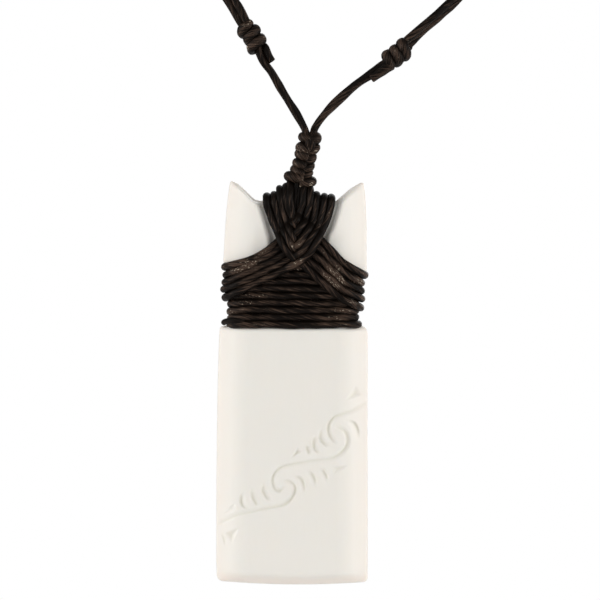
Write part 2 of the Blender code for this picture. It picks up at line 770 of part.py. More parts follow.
def build_sliding_knot(name, route, middle, tied_side, tag, tag_turn, collection, material):
    """A strand's end wound round the other strand, with its cut end lying along that strand.

    tied_side is 1 where the tied strand comes from further along the route, -1 from before it.
    """
    radius = NECK_CORD_DIAMETER / 2 + NECK_CORD_GAP + KNOT_CORD / 2
    half = KNOT_PITCH * KNOT_TURNS / 2
    steps = 10
    count = KNOT_TURNS * steps
    direction, _ = route.pair_direction(middle + tied_side * half)
    _, outward, across = route.frame(middle + tied_side * half)
    entry = direction if tied_side > 0 else -direction
    start_turn = math.atan2(entry.dot(outward), entry.dot(across))
    end_turn = tag_turn
    while end_turn < start_turn:
        end_turn += 2 * math.pi
    end_turn += 2 * math.pi * (KNOT_TURNS - 1)
    points = []
    for i in range(count + 1):
        distance = middle + tied_side * mix(half, -half, i / count)
        turn = mix(start_turn, end_turn, i / count)
        _, outward, across = route.frame(distance)
        spoke = across * math.cos(turn) + outward * math.sin(turn)
        points.append(route.at(distance) + spoke * radius)
    tag_steps = max(1, round(tag / MM))
    for i in range(1, tag_steps + 1):
        distance = middle - tied_side * (half + KNOT_CORD * 0.3 + tag * i / tag_steps)
        _, outward, across = route.frame(distance)
        spoke = across * math.cos(end_turn) + outward * math.sin(end_turn)
        points.append(route.at(distance) + spoke * radius)
    add_tube(name, points, KNOT_CORD, 1, material, collection)


def main():
    clear_scene()
    necklace = new_collection("bone_pendant_necklace")
    cutters = new_collection("cutters")
    engraving = new_collection("carving_cutters")
    cutters.hide_render = True
    engraving.hide_render = True
    bone = new_material("bone", BONE_COLOUR, BONE_ROUGHNESS)
    cord = new_material("waxed_cord", CORD_COLOUR, CORD_ROUGHNESS)

    pendant = bpy.data.objects.new("pendant", None)
    pendant.location = (0.0, PENDANT_Y, COLUMN_TOP_Z - COLUMN_TOP)
    necklace.objects.link(pendant)

    build_engraving(engraving)
    plate = build_plate(necklace, cutters, engraving, bone)
    plate.parent = pendant
    for helper in list(cutters.objects) + list(engraving.objects):
        helper.parent = pendant
    build_waist_lashing(necklace, cord, pendant)
    build_cross_lashing("cross_lashing_left", -1, True, necklace, cord, pendant)
    build_cross_lashing("cross_lashing_right", 1, False, necklace, cord, pendant)
    build_column(necklace, cutters, cord, pendant)

    route = Route()
    build_neck_cords(route, necklace, cord)
    build_sliding_knot(
        "sliding_knot_left", route, route.left_knot, 1, LEFT_TAG, 0.0, necklace, cord
    )
    build_sliding_knot(
        "sliding_knot_right", route, route.right_knot, -1, RIGHT_TAG, math.pi, necklace, cord
    )


main()
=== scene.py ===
"""Bone pendant necklace: the looks of the carved bone, the waxed cord bindings and the neck cord.

Tables of the pendant are in mm from the middle of the plate's bottom edge, x to the right and
z up as its front shows them. Tables of the neck cord are in mm from the nape. Meshes are in
metres in the shared frame.
"""

import math

import bmesh
import bpy
import numpy as np
from mathutils import Matrix, Vector


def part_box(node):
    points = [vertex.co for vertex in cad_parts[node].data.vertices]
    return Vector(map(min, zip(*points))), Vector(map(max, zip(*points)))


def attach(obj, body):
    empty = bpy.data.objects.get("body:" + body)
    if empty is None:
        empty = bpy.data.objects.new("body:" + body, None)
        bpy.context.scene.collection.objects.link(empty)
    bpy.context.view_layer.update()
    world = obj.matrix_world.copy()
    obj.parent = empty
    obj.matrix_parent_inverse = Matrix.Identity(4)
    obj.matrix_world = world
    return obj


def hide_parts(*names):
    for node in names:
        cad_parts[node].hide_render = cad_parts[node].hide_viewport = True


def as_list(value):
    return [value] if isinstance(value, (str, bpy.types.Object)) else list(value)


bl_info = {
    "name": "Bone Pendant Necklace",
    "version": (1, 0, 0),
    "blender": (4, 5, 0),
    "location": "3D View > Sidebar > Necklace",
    "description": "Builds a carved bone pendant bound with waxed cord on an adjustable neck cord",
    "category": "Add Mesh",
}

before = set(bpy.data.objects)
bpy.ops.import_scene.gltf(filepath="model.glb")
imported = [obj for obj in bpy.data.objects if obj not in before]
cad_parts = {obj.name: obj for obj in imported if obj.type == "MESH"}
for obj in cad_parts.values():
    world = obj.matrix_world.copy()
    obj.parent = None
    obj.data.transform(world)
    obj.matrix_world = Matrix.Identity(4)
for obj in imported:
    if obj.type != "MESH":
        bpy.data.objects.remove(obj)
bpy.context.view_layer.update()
PLATE_LOW, PLATE_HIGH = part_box("bone_plate")

MM = 0.001
ROOT = "root"

# The pendant's own axes stand on the middle of the plate's bottom edge, and it leans a little
PENDANT = np.array(
    [(PLATE_LOW.x + PLATE_HIGH.x) / 2, (PLATE_LOW.y + PLATE_HIGH.y) / 2, PLATE_LOW.z]
)
LEAN = 0.01375

# Plate's sides: height, left edge, right edge
PLATE_SIDES = (
    (-0.3, -10.5, 10.58), (1.0, -10.56, 10.58), (10.0, -10.72, 10.47), (20.0, -10.79, 10.31),
    (33.0, -10.7, 10.16), (45.8, -10.2, 9.83), (50.4, -9.99, 9.76), (54.6, -9.64, 9.48),
    (56.2, -9.42, 9.28),
)
# Plate's top edge from horn to horn, inside the round rim: x, height
PLATE_TOP = (
    (-9.7, 54.0), (-9.5, 55.4), (-9.31, 55.82), (-9.0, 55.78), (-8.5, 55.54), (-8.04, 55.18),
    (-6.83, 54.05), (-6.15, 53.42), (-5.54, 53.2), (-4.78, 53.12), (0.0, 53.0), (4.8, 52.92),
    (5.4, 53.06), (6.4, 53.86), (7.57, 54.85), (8.3, 55.32), (8.68, 55.52), (8.98, 55.66),
    (9.22, 55.4), (9.42, 54.3),
)
# Edges of the sunk channel under the fan of strands: height, left, right
CHANNEL_EDGES = (
    (45.0, -3.2, 3.3), (46.5, -3.45, 3.7), (48.2, -3.8, 4.25), (49.6, -4.25, 5.0),
    (51.1, -4.84, 5.6), (52.8, -5.5, 6.1), (53.6, -6.1, 6.35), (56.5, -6.9, 7.0),
)
# Recessed waist. Its upper shoulder falls to the right
WAIST_LOW = 35.65
WAIST_HIGH = 43.95
WAIST_FALL = 0.055
WAIST_LEFT, WAIST_RIGHT = -8.7, 7.85
WAIST_HALF_THICKNESS = 1.9
SHOULDER_LEFT_RADIUS, SHOULDER_RIGHT_RADIUS = 0.4, 0.8
# The bevel along the waist's lower shoulder: its width, and where on its curve it starts
SHOULDER_BEVEL, SHOULDER_BEVEL_START = 0.6, 0.05
SHOULDER = 0.15
# Bottom edge: how far its ends rise, its lowest point's height and x, and its corners
BOTTOM_BOW = 0.43
BOTTOM_DIP = -0.35
BOTTOM_MIDDLE = 1.0
CORNER_LEFT_RADIUS, CORNER_RIGHT_RADIUS = 0.6, 0.3
RIM_HALF_THICKNESS = 0.75
RIM_BULGE = 0.26
RIM_RINGS = 5
EDGE_POWER = 1.5
BOTTOM_POWER = 1.08
BOTTOM_WARMTH = 1.2
SIDE_FLAT_SHARE = 0.4
# Channel's wall: from how far outside its edge to how far inside, and the height it begins at
CHANNEL_WALL = (-0.55, 0.66)
CHANNEL_LOW = 42.95
# The waist's own rim and side bevel
WAIST_RIM_HALF_THICKNESS = 0.2
WAIST_BEVEL = 2.4
# The top bevel is narrower on the left: its share of the width there, and x between which it widens
LEFT_TOP_BEVEL = 0.4
TOP_BEVEL_WIDENS = (-4.0, 4.0)

# Plate's columns and rows. Rows lie close together along the bottom's bevel, across the carved
# band and round the corner under the waist, and those above the horns' foot reach the top edge
COLUMNS, COLUMN_CROWDING = 152, 1.08
BOTTOM_LEVELS = (0.0, 0.04, 0.12, 0.25, 0.42, 0.62, 0.85, 1.1, 1.4, 1.8, 2.3, 2.9, 3.5)
BAND_LOW, BAND_HIGH, BAND_STEP = 4.0, 28.4, 0.135
BODY_LOW, BODY_STEP = 28.6, 0.6
CORNER_DROPS = (0.8, 0.62, 0.46, 0.32, 0.2, 0.12, 0.06, 0.02, 0.0)
FALL_BEGINS, FALL_ENDS = (40.6, 43.2), (44.6, 46.0)
WAIST_LEVELS = (
    WAIST_LOW + SHOULDER, 38.0, FALL_BEGINS[0], 42.6, WAIST_HIGH - SHOULDER, WAIST_HIGH,
    WAIST_HIGH + 0.12, FALL_ENDS[0], 45.4,
)
HORN_FOOT, HORN_TOP, HORN_ROWS, HORN_CROWDING = 46.0, 56.0, 30, 1.5
# Rounds in which the grid settles, since sides and top edge each depend on the other's place
GRID_ROUNDS = 8

# Carved band. Long lines: points (x, z, depth share); the gentle slope lies to the left of each
BAND_LINES = (
    (
        (-9.95, 8.3, 0.35), (-7.77, 9.42, 0.5), (-5.62, 9.92, 0.55), (-3.49, 10.42, 0.6),
        (-2.1, 10.66, 0.7), (-1.07, 10.98, 0.85), (-0.21, 11.7, 1.0), (0.25, 12.57, 1.0),
        (0.31, 13.28, 0.95), (0.04, 13.85, 0.8), (-0.54, 14.21, 0.6), (-1.11, 14.28, 0.25),
    ),
    (
        (5.93, 21.66, 0.3), (6.38, 21.55, 0.55), (6.9, 21.22, 0.8), (7.22, 20.72, 0.95),
        (7.38, 20.0, 1.0), (7.27, 19.2, 1.0), (6.75, 18.4, 1.0), (5.9, 17.72, 0.8),
        (4.98, 17.38, 0.5), (3.57, 17.21, 0.45), (1.43, 16.92, 0.55), (-0.28, 16.57, 0.65),
        (-1.42, 16.28, 0.75), (-2.27, 15.78, 0.85), (-2.76, 15.14, 0.9), (-2.96, 14.42, 0.9),
        (-2.88, 13.71, 0.85), (-2.6, 13.07, 0.8), (-2.1, 12.78, 0.75), (-1.75, 12.82, 0.8),
        (-1.5, 13.05, 0.5),
    ),
    (
        (10.3, 25.3, 0.3), (9.17, 24.71, 0.5), (8.18, 24.14, 0.6), (7.04, 23.78, 0.7),
        (6.19, 23.5, 0.75), (5.48, 23.14, 0.85), (4.92, 22.42, 0.95), (4.72, 21.57, 1.0),
        (4.8, 20.85, 0.95), (5.08, 20.25, 0.85), (5.56, 19.75, 0.55),
    ),
)
# Claw cuts between the lines: points (x, z), with the gentle slope to the left of each
CLAWS = (
    ((-7.15, 12.28), (-7.29, 11.57), (-7.07, 10.85), (-6.5, 10.42)),
    ((-5.86, 12.71), (-5.72, 11.85), (-5.36, 11.28), (-5.0, 10.92)),
    ((-4.22, 13.57), (-4.29, 12.85), (-3.93, 12.14), (-3.36, 11.57)),
    ((1.61, 12.85), (1.51, 13.71), (1.15, 14.49), (0.44, 14.92)),
    ((3.15, 13.85), (3.01, 14.42), (2.72, 15.14), (2.29, 15.49)),
    ((4.72, 14.49), (4.65, 14.85), (4.37, 15.42), (4.08, 15.92)),
    ((1.79, 19.14), (1.86, 18.57), (2.07, 18.07)),
    ((2.84, 20.28), (2.7, 19.42), (2.84, 18.71), (3.41, 18.21)),
    ((3.71, 21.2), (3.62, 20.2), (3.99, 19.57), (4.76, 19.08)),
    ((9.0, 20.71), (8.79, 21.57), (8.36, 22.28), (7.64, 22.64)),
)
# Widths of the gentle slopes and of the steep walls, how much shallower a claw is at its ends,
# steps between a cut's points, and how far from a line its darker colour reaches
LINE_SLOPE, CLAW_SLOPE = 0.6, 0.85
WALL_WIDTH = 0.24
CLAW_FADE = 0.75
LINE_STEPS, CLAW_STEPS = 4, 5
CUT_DARKENING_REACH = 0.5
# Chips: three corners (x, z) and the depth in their middle. The darker colour is full at this depth
DARKEST_CHIP_DEPTH = 0.4
CHIPS = (
    (((-9.8, 9.5), (-8.1, 11.2), (-7.95, 10.3)), 0.2),
    (((-9.45, 6.95), (-7.45, 7.75), (-8.5, 5.4)), 0.32),
    (((-10.0, 7.1), (-9.25, 6.3), (-9.35, 4.6)), 0.16),
    (((5.3, 16.35), (7.8, 16.45), (5.6, 15.15)), 0.26),
    (((0.55, 18.95), (1.15, 18.25), (-0.35, 17.45)), 0.36),
    (((8.55, 27.6), (9.45, 26.2), (7.0, 25.35)), 0.3),
)

# Cross bindings, from the innermost strand out. Each strand: x and z at the plate's edge,
# points (x, z) across the front, height where it passes over the notch
LEFT_STRANDS = (
    ((-9.98, 44.07), (
        (-6.7, 44.98), (-5.4, 45.54), (-4.26, 46.16), (-2.83, 47.4), (-1.9, 48.4), (-0.6, 49.7),
        (-0.1, 50.4), (0.12, 50.96), (0.38, 51.52), (0.78, 52.64), (0.82, 53.1),
    ), 55.5),
    ((-9.82, 42.95), (
        (-6.7, 44.3), (-3.65, 45.8), (-1.9, 47.2), (-0.05, 48.75), (0.35, 49.28), (0.8, 49.84),
        (1.15, 50.4), (1.46, 51.52), (1.74, 52.64), (1.78, 53.1),
    ), 55.1),
    ((-9.9, 41.95), (
        (-6.7, 43.3), (-3.65, 44.8), (-1.9, 45.75), (0.0, 46.85), (0.6, 47.6), (0.95, 48.16),
        (1.26, 48.72), (1.65, 49.28), (2.27, 50.4), (2.55, 51.52), (2.66, 52.64), (2.67, 53.0),
    ), 54.25),
    ((-10.05, 40.95), (
        (-6.7, 42.3), (-3.65, 43.8), (-1.9, 44.7), (0.0, 45.65), (0.78, 46.3), (1.37, 47.04),
        (2.12, 48.16), (2.72, 49.28), (3.21, 50.4), (3.56, 51.52), (3.76, 52.64), (3.8, 52.9),
    ), 53.98),
    ((-9.85, 39.8), (
        (-6.7, 41.3), (-3.65, 42.8), (-1.9, 43.6), (0.08, 44.5), (1.0, 45.15), (1.85, 45.95),
        (2.47, 47.04), (3.08, 48.16), (3.6, 49.28), (4.1, 50.4), (4.46, 51.52), (4.72, 52.64),
        (4.76, 52.9),
    ), 53.82),
)
RIGHT_STRANDS = (
    ((9.6, 42.95), (
        (6.6, 44.55), (3.6, 47.62), (1.3, 49.6), (0.0, 50.5), (-0.58, 51.5), (-1.03, 53.2),
    ), 55.8),
    ((9.12, 41.85), (
        (6.6, 43.3), (3.6, 46.3), (1.3, 48.2), (0.1, 48.95), (-0.1, 49.28), (-0.5, 50.1),
        (-0.85, 51.2), (-1.25, 52.2), (-1.62, 53.2),
    ), 55.45),
    ((9.1, 40.78), (
        (6.6, 42.05), (3.6, 44.9), (1.3, 46.5), (0.0, 47.4), (-0.5, 48.16), (-1.0, 49.28),
        (-1.45, 50.4), (-1.95, 51.52), (-2.33, 52.64), (-2.42, 53.0),
    ), 55.05),
    ((9.14, 39.7), (
        (6.6, 40.8), (3.6, 43.4), (1.3, 45.2), (0.1, 46.1), (-0.75, 47.04), (-1.4, 48.16),
        (-1.92, 49.28), (-2.4, 50.4), (-2.82, 51.52), (-3.15, 52.64), (-3.22, 52.9),
    ), 54.2),
    ((9.03, 38.45), (
        (6.6, 39.5), (3.6, 41.95), (1.3, 44.05), (0.0, 45.0), (-1.1, 45.95), (-1.88, 47.04),
        (-2.35, 48.16), (-2.83, 49.28), (-3.36, 50.4), (-3.82, 51.52), (-4.18, 52.64),
        (-4.24, 52.9),
    ), 54.05),
)

# Column's lobes, from the top down: side, outer edge, height, strand
COLUMN_LOBES = (
    (-1, -0.05, 62.25, 1.5), (1, 3.36, 62.1, 1.68), (-1, -0.38, 60.82, 1.66), (1, 3.14, 60.8, 1.3),
    (-1, -0.48, 59.85, 1.66), (1, 2.72, 59.5, 1.45), (-1, -0.82, 58.6, 1.5), (1, 2.42, 58.3, 1.35),
    (-1, -1.1, 57.75, 1.35), (1, 2.2, 57.25, 1.15), (-1, -1.92, 56.75, 1.55), (1, 2.73, 56.05, 1.5),
)
# Column's axis: height, x
COLUMN_AXIS = (
    (53.0, 0.1), (56.4, 0.45), (57.5, 0.66), (58.5, 0.9), (59.7, 1.22), (60.9, 1.46), (62.0, 1.65),
    (63.0, 1.75),
)

# Neck cord's route in mm from the nape, as the solids have it (x, y, z)
LEFT_BELOW_KNOT = (
    (1.05, -122.0, -97.7), (-0.4, -122.0, -95.1), (-2.2, -122.0, -92.3), (-3.8, -122.0, -89.6),
    (-5.1, -122.0, -87.8), (-6.2, -122.0, -85.1),
)
LEFT_FRONT = (
    (-7.7, -121.8, -82.9), (-9.6, -121.4, -79.5), (-14.5, -120.0, -72.5), (-23.0, -116.3, -61.5),
    (-34.0, -109.0, -50.0), (-46.0, -97.0, -39.5), (-56.0, -80.5, -30.5), (-62.0, -60.0, -23.0),
)
LEFT_BACK = (
    (-62.0, -41.0, -16.8), (-56.0, -23.5, -11.0), (-43.5, -10.0, -5.6), (-23.5, -1.9, -1.6),
)
NAPE = (0.0, 0.5, 0.0)
RIGHT_BELOW_KNOT = (
    (2.15, -122.0, -97.7), (2.9, -122.0, -96.4), (4.1, -122.0, -94.9), (6.3, -122.0, -92.7),
    (8.5, -122.0, -90.9), (10.7, -122.0, -89.3), (13.8, -122.0, -87.0),
)
RIGHT_FRONT = (
    (17.0, -121.8, -84.0), (21.0, -121.2, -80.4), (28.0, -118.6, -72.8), (37.0, -112.6, -61.8),
    (47.0, -101.5, -49.0), (56.0, -84.0, -35.5), (61.5, -64.0, -24.5),
)
RIGHT_BACK = (
    (62.0, -43.0, -17.3), (56.0, -23.5, -11.0), (43.5, -10.0, -5.6), (23.5, -1.9, -1.6),
)
ROUTE_STEPS = 12
# Sliding knots: turns, how far the middle lies up the cord from the solid's, tag's length and turn
LEFT_KNOT = (2.6, 0.5, 2.0, 0.0)
RIGHT_KNOT = (2.4, 0.1, 3.0, 2.25)
# How far above each knot the pair of strands has moved across the route, in mm
LEFT_SWAY, RIGHT_SWAY = -0.36, 0.6
SWAY_LENGTH = 2.5
# Where the neck cord's two ends come down into the column's front (x, y, z)
LEFT_ROOT = ((1.62, -122.3, -101.2), (1.55, -122.95, -100.0), (1.4, -122.9, -98.9))
RIGHT_ROOT = ((1.75, -122.3, -101.2), (1.85, -122.95, -100.0), (1.95, -122.9, -98.9))


def length_property(name, description, default):
    """A size in metres, shown with the scene's units."""
    return bpy.props.FloatProperty(
        name=name, description=description, default=default, min=0.0, precision=5, unit="LENGTH"
    )


def share_property(name, description, default):
    return bpy.props.FloatProperty(
        name=name, description=description, default=default, min=0.0, max=1.0, subtype="FACTOR"
    )


def angle_property(name, description, degrees):
    return bpy.props.FloatProperty(
        name=name, description=description, default=math.radians(degrees), subtype="ANGLE"
    )


def colour_property(name, description, default):
    return bpy.props.FloatVectorProperty(
        name=name, description=description, default=default, size=3, min=0.0, max=1.0, subtype="COLOR"
    )


class NecklacePlateSettings(bpy.types.PropertyGroup):
    """Sizes and colours of the carved bone plate."""

    half_thickness: length_property(
        "Half Thickness", "From the plate's middle to its flat front", (PLATE_HIGH.y - PLATE_LOW.y) / 2
    )
    side_bevel: length_property("Side Bevel", "Width of the bevel along each side", 4.3 * MM)
    bottom_bevel: length_property("Bottom Bevel", "Width of the bevel along the bottom", 1.2 * MM)
    top_bevel: length_property("Top Bevel", "Width of the bevel round horns and notch", 0.8 * MM)
    channel_depth: length_property("Channel Depth", "How far the channel is sunk", 1.2 * MM)
    cut_depth: length_property("Cut Depth", "Depth of the carved lines and claws", 0.3 * MM)
    bone: colour_property("Bone", "Colour of the polished faces", (0.80, 0.775, 0.72))
    warm: colour_property("Warm Bone", "Colour of the bevels and of faint clouds", (0.84, 0.765, 0.69))
    cut: colour_property("Cut Bone", "Colour inside the carving", (0.70, 0.67, 0.57))


class NecklaceBindingSettings(bpy.types.PropertyGroup):
    """Sizes of the bindings on the plate."""

    diameter: length_property("Strand", "Diameter of the waist's cord", 1.02 * MM)
    cross_diameter: length_property("Cross Strand", "Diameter of the crossing cord", 1.09 * MM)
    pitch: length_property("Pitch", "Distance from turn to turn round the waist", 1.01 * MM)
    turns: bpy.props.IntProperty(
        name="Turns", description="Turns of cord round the waist", default=9, min=3, max=12
    )
    wander: length_property("Wander", "How far a strand strays from its line", 0.045 * MM)


class NecklaceCordSettings(bpy.types.PropertyGroup):
    """Sizes and colours of the waxed cord."""

    diameter: length_property("Diameter", "Diameter of the neck cord", 1.0 * MM)
    spacing: length_property("Pair Spacing", "Between the two strands of a pair", 1.03 * MM)
    knot_pitch: length_property("Knot Pitch", "From turn to turn of a sliding knot", 1.5 * MM)
    knot_width: length_property("Knot Width", "Width of the flattened cord in a knot", 1.52 * MM)
    knot_thickness: length_property(
        "Knot Thickness", "Thickness of the flattened cord in a knot", 1.08 * MM
    )
    left_turn: angle_property("Left Pair Turn", "Turn of the left pair at its knot", 30)
    right_turn: angle_property("Right Pair Turn", "Turn of the right pair at its knot", 50)
    lay: length_property("Lay", "Length in which a ply makes one turn", 13.0 * MM)
    relief: share_property("Relief", "How much the plies stand out of the outline", 0.014)
    cord: colour_property("Cord", "Colour of the waxed cord", (0.0034, 0.0020, 0.0012))
    # Painted highlight: colour of the streaks where the fibres catch the light
    painted_highlight: colour_property("Fibre", "Colour of the fibres that catch the light", (0.070, 0.044, 0.031))
    wax: colour_property("Wax", "Colour of the specks of wax", (0.36, 0.30, 0.23))


class NecklaceStageSettings(bpy.types.PropertyGroup):
    """Camera, floor and light."""

    distance: length_property("Camera Distance", "From the camera to the pendant", 0.6)
    view_width: length_property("View Width", "Width that the camera sees at the pendant", 84.0 * MM)
    floor_drop: length_property("Floor Drop", "From the nape down to the floor", 0.34)
    ambient: share_property("Ambient", "Light from all round", 0.38)
    floor_glow: share_property("Floor Glow", "Light that the floor throws up by itself", 0.08)
    backdrop: colour_property("Backdrop", "Colour behind the object", (1.0, 1.0, 1.0))
    floor: colour_property("Floor", "Colour of the floor", (0.86, 0.86, 0.86))


def mix(a, b, share):
    return a + (b - a) * share


def smoothstep(low, high, at):
    share = np.clip((np.asarray(at, float) - low) / (high - low), 0.0, 1.0)
    return share * share * (3 - 2 * share)


def hermite(table, column, at):
    """A column of a table read smoothly at values of its first column, which rises."""
    rows = np.array(table, float)
    known, values = rows[:, 0], rows[:, column]
    slopes = np.gradient(values, known)
    at = np.clip(at, known[0], known[-1])
    i = np.clip(np.searchsorted(known, at) - 1, 0, len(known) - 2)
    span = known[i + 1] - known[i]
    t = (at - known[i]) / span
    return (
        values[i] * (1 + 2 * t) * (1 - t) ** 2
        + values[i + 1] * t * t * (3 - 2 * t)
        + span * (slopes[i] * t * (1 - t) ** 2 - slopes[i + 1] * t * t * (1 - t))
    )


def smooth_points(keys, steps=ROUTE_STEPS):
    """Points of a Catmull-Rom curve through keys, with the given number of steps to a span."""
    keys = np.array(keys, float)
    before = np.vstack([keys[:1], keys[:-2]])[:, None]
    start, end = keys[:-1, None], keys[1:, None]
    after = np.vstack([keys[2:], keys[-1:]])[:, None]
    t = (np.arange(steps) / steps)[None, :, None]
    curve = 0.5 * (
        2 * start
        + (end - before) * t
        + (2 * before - 5 * start + 4 * end - after) * t ** 2
        + (3 * start - before - 3 * end + after) * t ** 3
    )
    return np.vstack([curve.reshape(-1, keys.shape[1]), keys[-1:]])


def unit(vectors):
    return vectors / np.linalg.norm(vectors, axis=-1, keepdims=True)


# Distance between the points of a line that is drawn through keys
FINE_STEP = 0.2


def lengths_along(points):
    return np.concatenate([[0.0], np.cumsum(np.linalg.norm(np.diff(points, axis=0), axis=1))])


def read_at(at, along, points):
    """Points of a line at lengths, from the length along it of each of its points."""
    return np.column_stack([np.interp(at, along, column) for column in points.T])


def at_shares(points, count):
    """The same line as a number of points an equal distance apart."""
    along = lengths_along(points)
    return read_at(np.linspace(0.0, along[-1], count), along, points)


def even_points(points, step):
    """The same line with points an equal distance apart, near to step."""
    return at_shares(points, max(2, round(lengths_along(points)[-1] / step) + 1))


RIPPLE_WAVES = (1.0, 0.57, 0.33)
RIPPLE_HEIGHT = 1.3


def ripple(at, wavelength, rng):
    """A smooth random wave of about unit height along a length, from a few sine waves."""
    value = np.zeros(len(at))
    for share in RIPPLE_WAVES:
        value += share * np.sin(2 * math.pi * (at / (wavelength * share) + rng.random()))
    return value / RIPPLE_HEIGHT


def between_ends(along, first, last):
    """0 at both ends of a line, and 1 between its first and last stretches of these lengths."""
    return smoothstep(0.0, first, along) * smoothstep(0.0, last, along[-1] - along)


def strayed(points, amount, wavelength, rng):
    """A line that strays a little to each side, and keeps its ends."""
    along = lengths_along(points)
    hold = between_ends(along, wavelength, wavelength)
    offsets = [ripple(along, wavelength, rng) * hold * amount for _ in range(3)]
    return points + np.column_stack(offsets)


def on_pendant(points):
    """Points in mm in the pendant's axes, as metres in the frame."""
    x, y, z = np.asarray(points, float).T
    return np.column_stack([x, y, z + LEAN * x]) * MM + PENDANT


PLIES = 3
# Uneven cord: how much it swells, and how far round its flatter side turns, with wavelengths in mm
SWELL, SWELL_LENGTH = 0.018, 5.0
FLAT_TURN, FLAT_TURN_LENGTH = 1.4, 16.0
# How much a strand's twist, flatter side and fibres may start apart, in radians and in mm
TWIST_SPREAD, FLAT_SPREAD, FIBRE_SPREAD = 6.28, 3, 50
# Wear and painted highlight of a strand's outer side: how much, how narrow, and how much less its
# other sides have
RIDGE_WEAR_AND_HIGHLIGHT, RIDGE_POWER, RIDGE_DROP = 1.1, 4, 0.4
# Chamfer of a cut end, as a share of the strand's radius, and how wide the end's flat is
END_CHAMFER, END_FLAT = 0.18, 0.8
# Painted shade on strands that lie deep: fewer highlight streaks and wax specks
DEEP_PAINTED_SHADE = -1.0


class CordMesh:
    """Strands of cord as one mesh. Each point knows its place among the twisted fibres in mm, and
    how worn its wax is, together with its painted highlight and shade."""

    def __init__(self, seed):
        self.rng = np.random.default_rng(seed)
        self.points, self.marks, self.faces = [], [], []
        self.count = 0

    def rings(self, centre, radius, sides=14, flatness=0.03, worn=0.0, tightness=1.0, outward=None):
        """Rings of points round a centreline in metres, and their marks: place, and wear with painted
        light.

        The side that faces outward is rubbed more than the others, and gets more painted highlight.
        """
        cord = bpy.context.scene.necklace_cord
        tangent = unit(np.gradient(centre, axis=0))
        normal = np.empty_like(centre)
        first = np.cross(tangent[0], [0.0, 1.0, 0.0])
        if np.linalg.norm(first) < 0.1:
            first = np.cross(tangent[0], [1.0, 0.0, 0.0])
        for i, ahead in enumerate(tangent):
            first = unit(first - ahead * (first @ ahead))
            normal[i] = first
        across = np.cross(tangent, normal)
        along = lengths_along(centre)
        turn = np.linspace(0, 2 * math.pi, sides, endpoint=False)[None, :]
        twist = 2 * math.pi * along * tightness / cord.lay + self.rng.random() * TWIST_SPREAD
        twist, radius = twist[:, None], np.broadcast_to(radius, len(centre))[:, None]
        swell = 1 + SWELL * ripple(along / MM, SWELL_LENGTH, self.rng)[:, None]
        flat_turn = FLAT_TURN * ripple(along / MM, FLAT_TURN_LENGTH, self.rng)[:, None]
        flat_turn = flat_turn + self.rng.random() * FLAT_SPREAD
        flat = flatness * np.cos(2 * (turn - flat_turn))
        size = radius * swell * (1 + flat + cord.relief * np.cos(PLIES * (turn - twist)))
        spoke = normal[:, None] * np.cos(turn)[..., None] + across[:, None] * np.sin(turn)[..., None]
        shift = self.rng.random() * FIBRE_SPREAD
        worn = np.broadcast_to(worn, len(centre))[:, None] + np.zeros(size.shape)
        if outward is not None:
            exposed = np.clip((spoke * outward[:, None]).sum(axis=2), 0.0, 1.0)
            worn = worn + RIDGE_WEAR_AND_HIGHLIGHT * (exposed ** RIDGE_POWER - RIDGE_DROP)
        across_fibres = [radius * wave(turn - twist) / MM for wave in (np.cos, np.sin)]
        along_fibres = np.broadcast_to((along / MM + shift)[:, None], size.shape)
        marks = np.stack([*across_fibres, along_fibres, worn], axis=-1)
        return centre[:, None, :] + spoke * size[..., None], marks

    def add_rings(self, rings, marks):
        """Joins rings into a closed strand with a small chamfer at each cut end."""
        for end, nearest in ((0, 1), (-1, -2)):
            middle = rings[end].mean(axis=0)
            outward = unit(middle - rings[nearest].mean(axis=0))
            depth = END_CHAMFER * np.linalg.norm(rings[end][0] - middle)
            lid = middle + (rings[end] - middle) * END_FLAT + outward * depth
            rings = np.concatenate([[lid], rings] if end == 0 else [rings, [lid]])
            marks = np.concatenate([marks[:1], marks] if end == 0 else [marks, marks[-1:]])
        rows, sides = rings.shape[:2]
        index = np.arange(rows * sides).reshape(rows, sides) + self.count
        beside = np.roll(index, -1, axis=1)
        quads = np.stack([index[:-1], beside[:-1], beside[1:], index[1:]], axis=-1).reshape(-1, 4)
        self.faces.extend(quads.tolist())
        cap = self.count + rows * sides
        self.faces.extend([[cap, b, a] for a, b in zip(index[0], beside[0])])
        self.faces.extend([[cap + 1, a, b] for a, b in zip(index[-1], beside[-1])])
        caps = np.array([rings[0].mean(axis=0), rings[-1].mean(axis=0)])
        cap_marks = np.array([marks[0].mean(axis=0), marks[-1].mean(axis=0)])
        self.points.append(np.vstack([rings.reshape(-1, 3), caps]))
        self.marks.append(np.vstack([marks.reshape(-1, 4), cap_marks]))
        self.count += rows * sides + 2

    def add(self, centre, radius, **looks):
        self.add_rings(*self.rings(centre, radius, **looks))

    def build(self, name):
        mesh = bpy.data.meshes.new(name)
        mesh.from_pydata(np.vstack(self.points).tolist(), [], self.faces)
        marks = np.vstack(self.marks)
        add_layer(mesh, "strand", marks[:, :3])
        add_layer(mesh, "worn", marks[:, 3])
        return place_piece(name, mesh, cord_material(bpy.context.scene.necklace_cord))


def add_layer(mesh, name, values):
    """A number or a vector on each point of a mesh, which its material reads by name."""
    kind, field = ("FLOAT", "value") if values.ndim == 1 else ("FLOAT_VECTOR", "vector")
    layer = mesh.attributes.new(name, kind, "POINT")
    layer.data.foreach_set(field, values.astype(np.float32).ravel())


def placed(name, data):
    thing = bpy.data.objects.new(name, data)
    bpy.context.scene.collection.objects.link(thing)
    return thing


def place_piece(name, mesh, material):
    """A smooth-shaded piece in the scene, riding on the one body."""
    edit = bmesh.new()
    edit.from_mesh(mesh)
    bmesh.ops.recalc_face_normals(edit, faces=edit.faces)
    edit.to_mesh(mesh)
    edit.free()
    mesh.shade_smooth()
    mesh.materials.append(material)
    piece = placed(name, mesh)
    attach(piece, ROOT)
    return piece


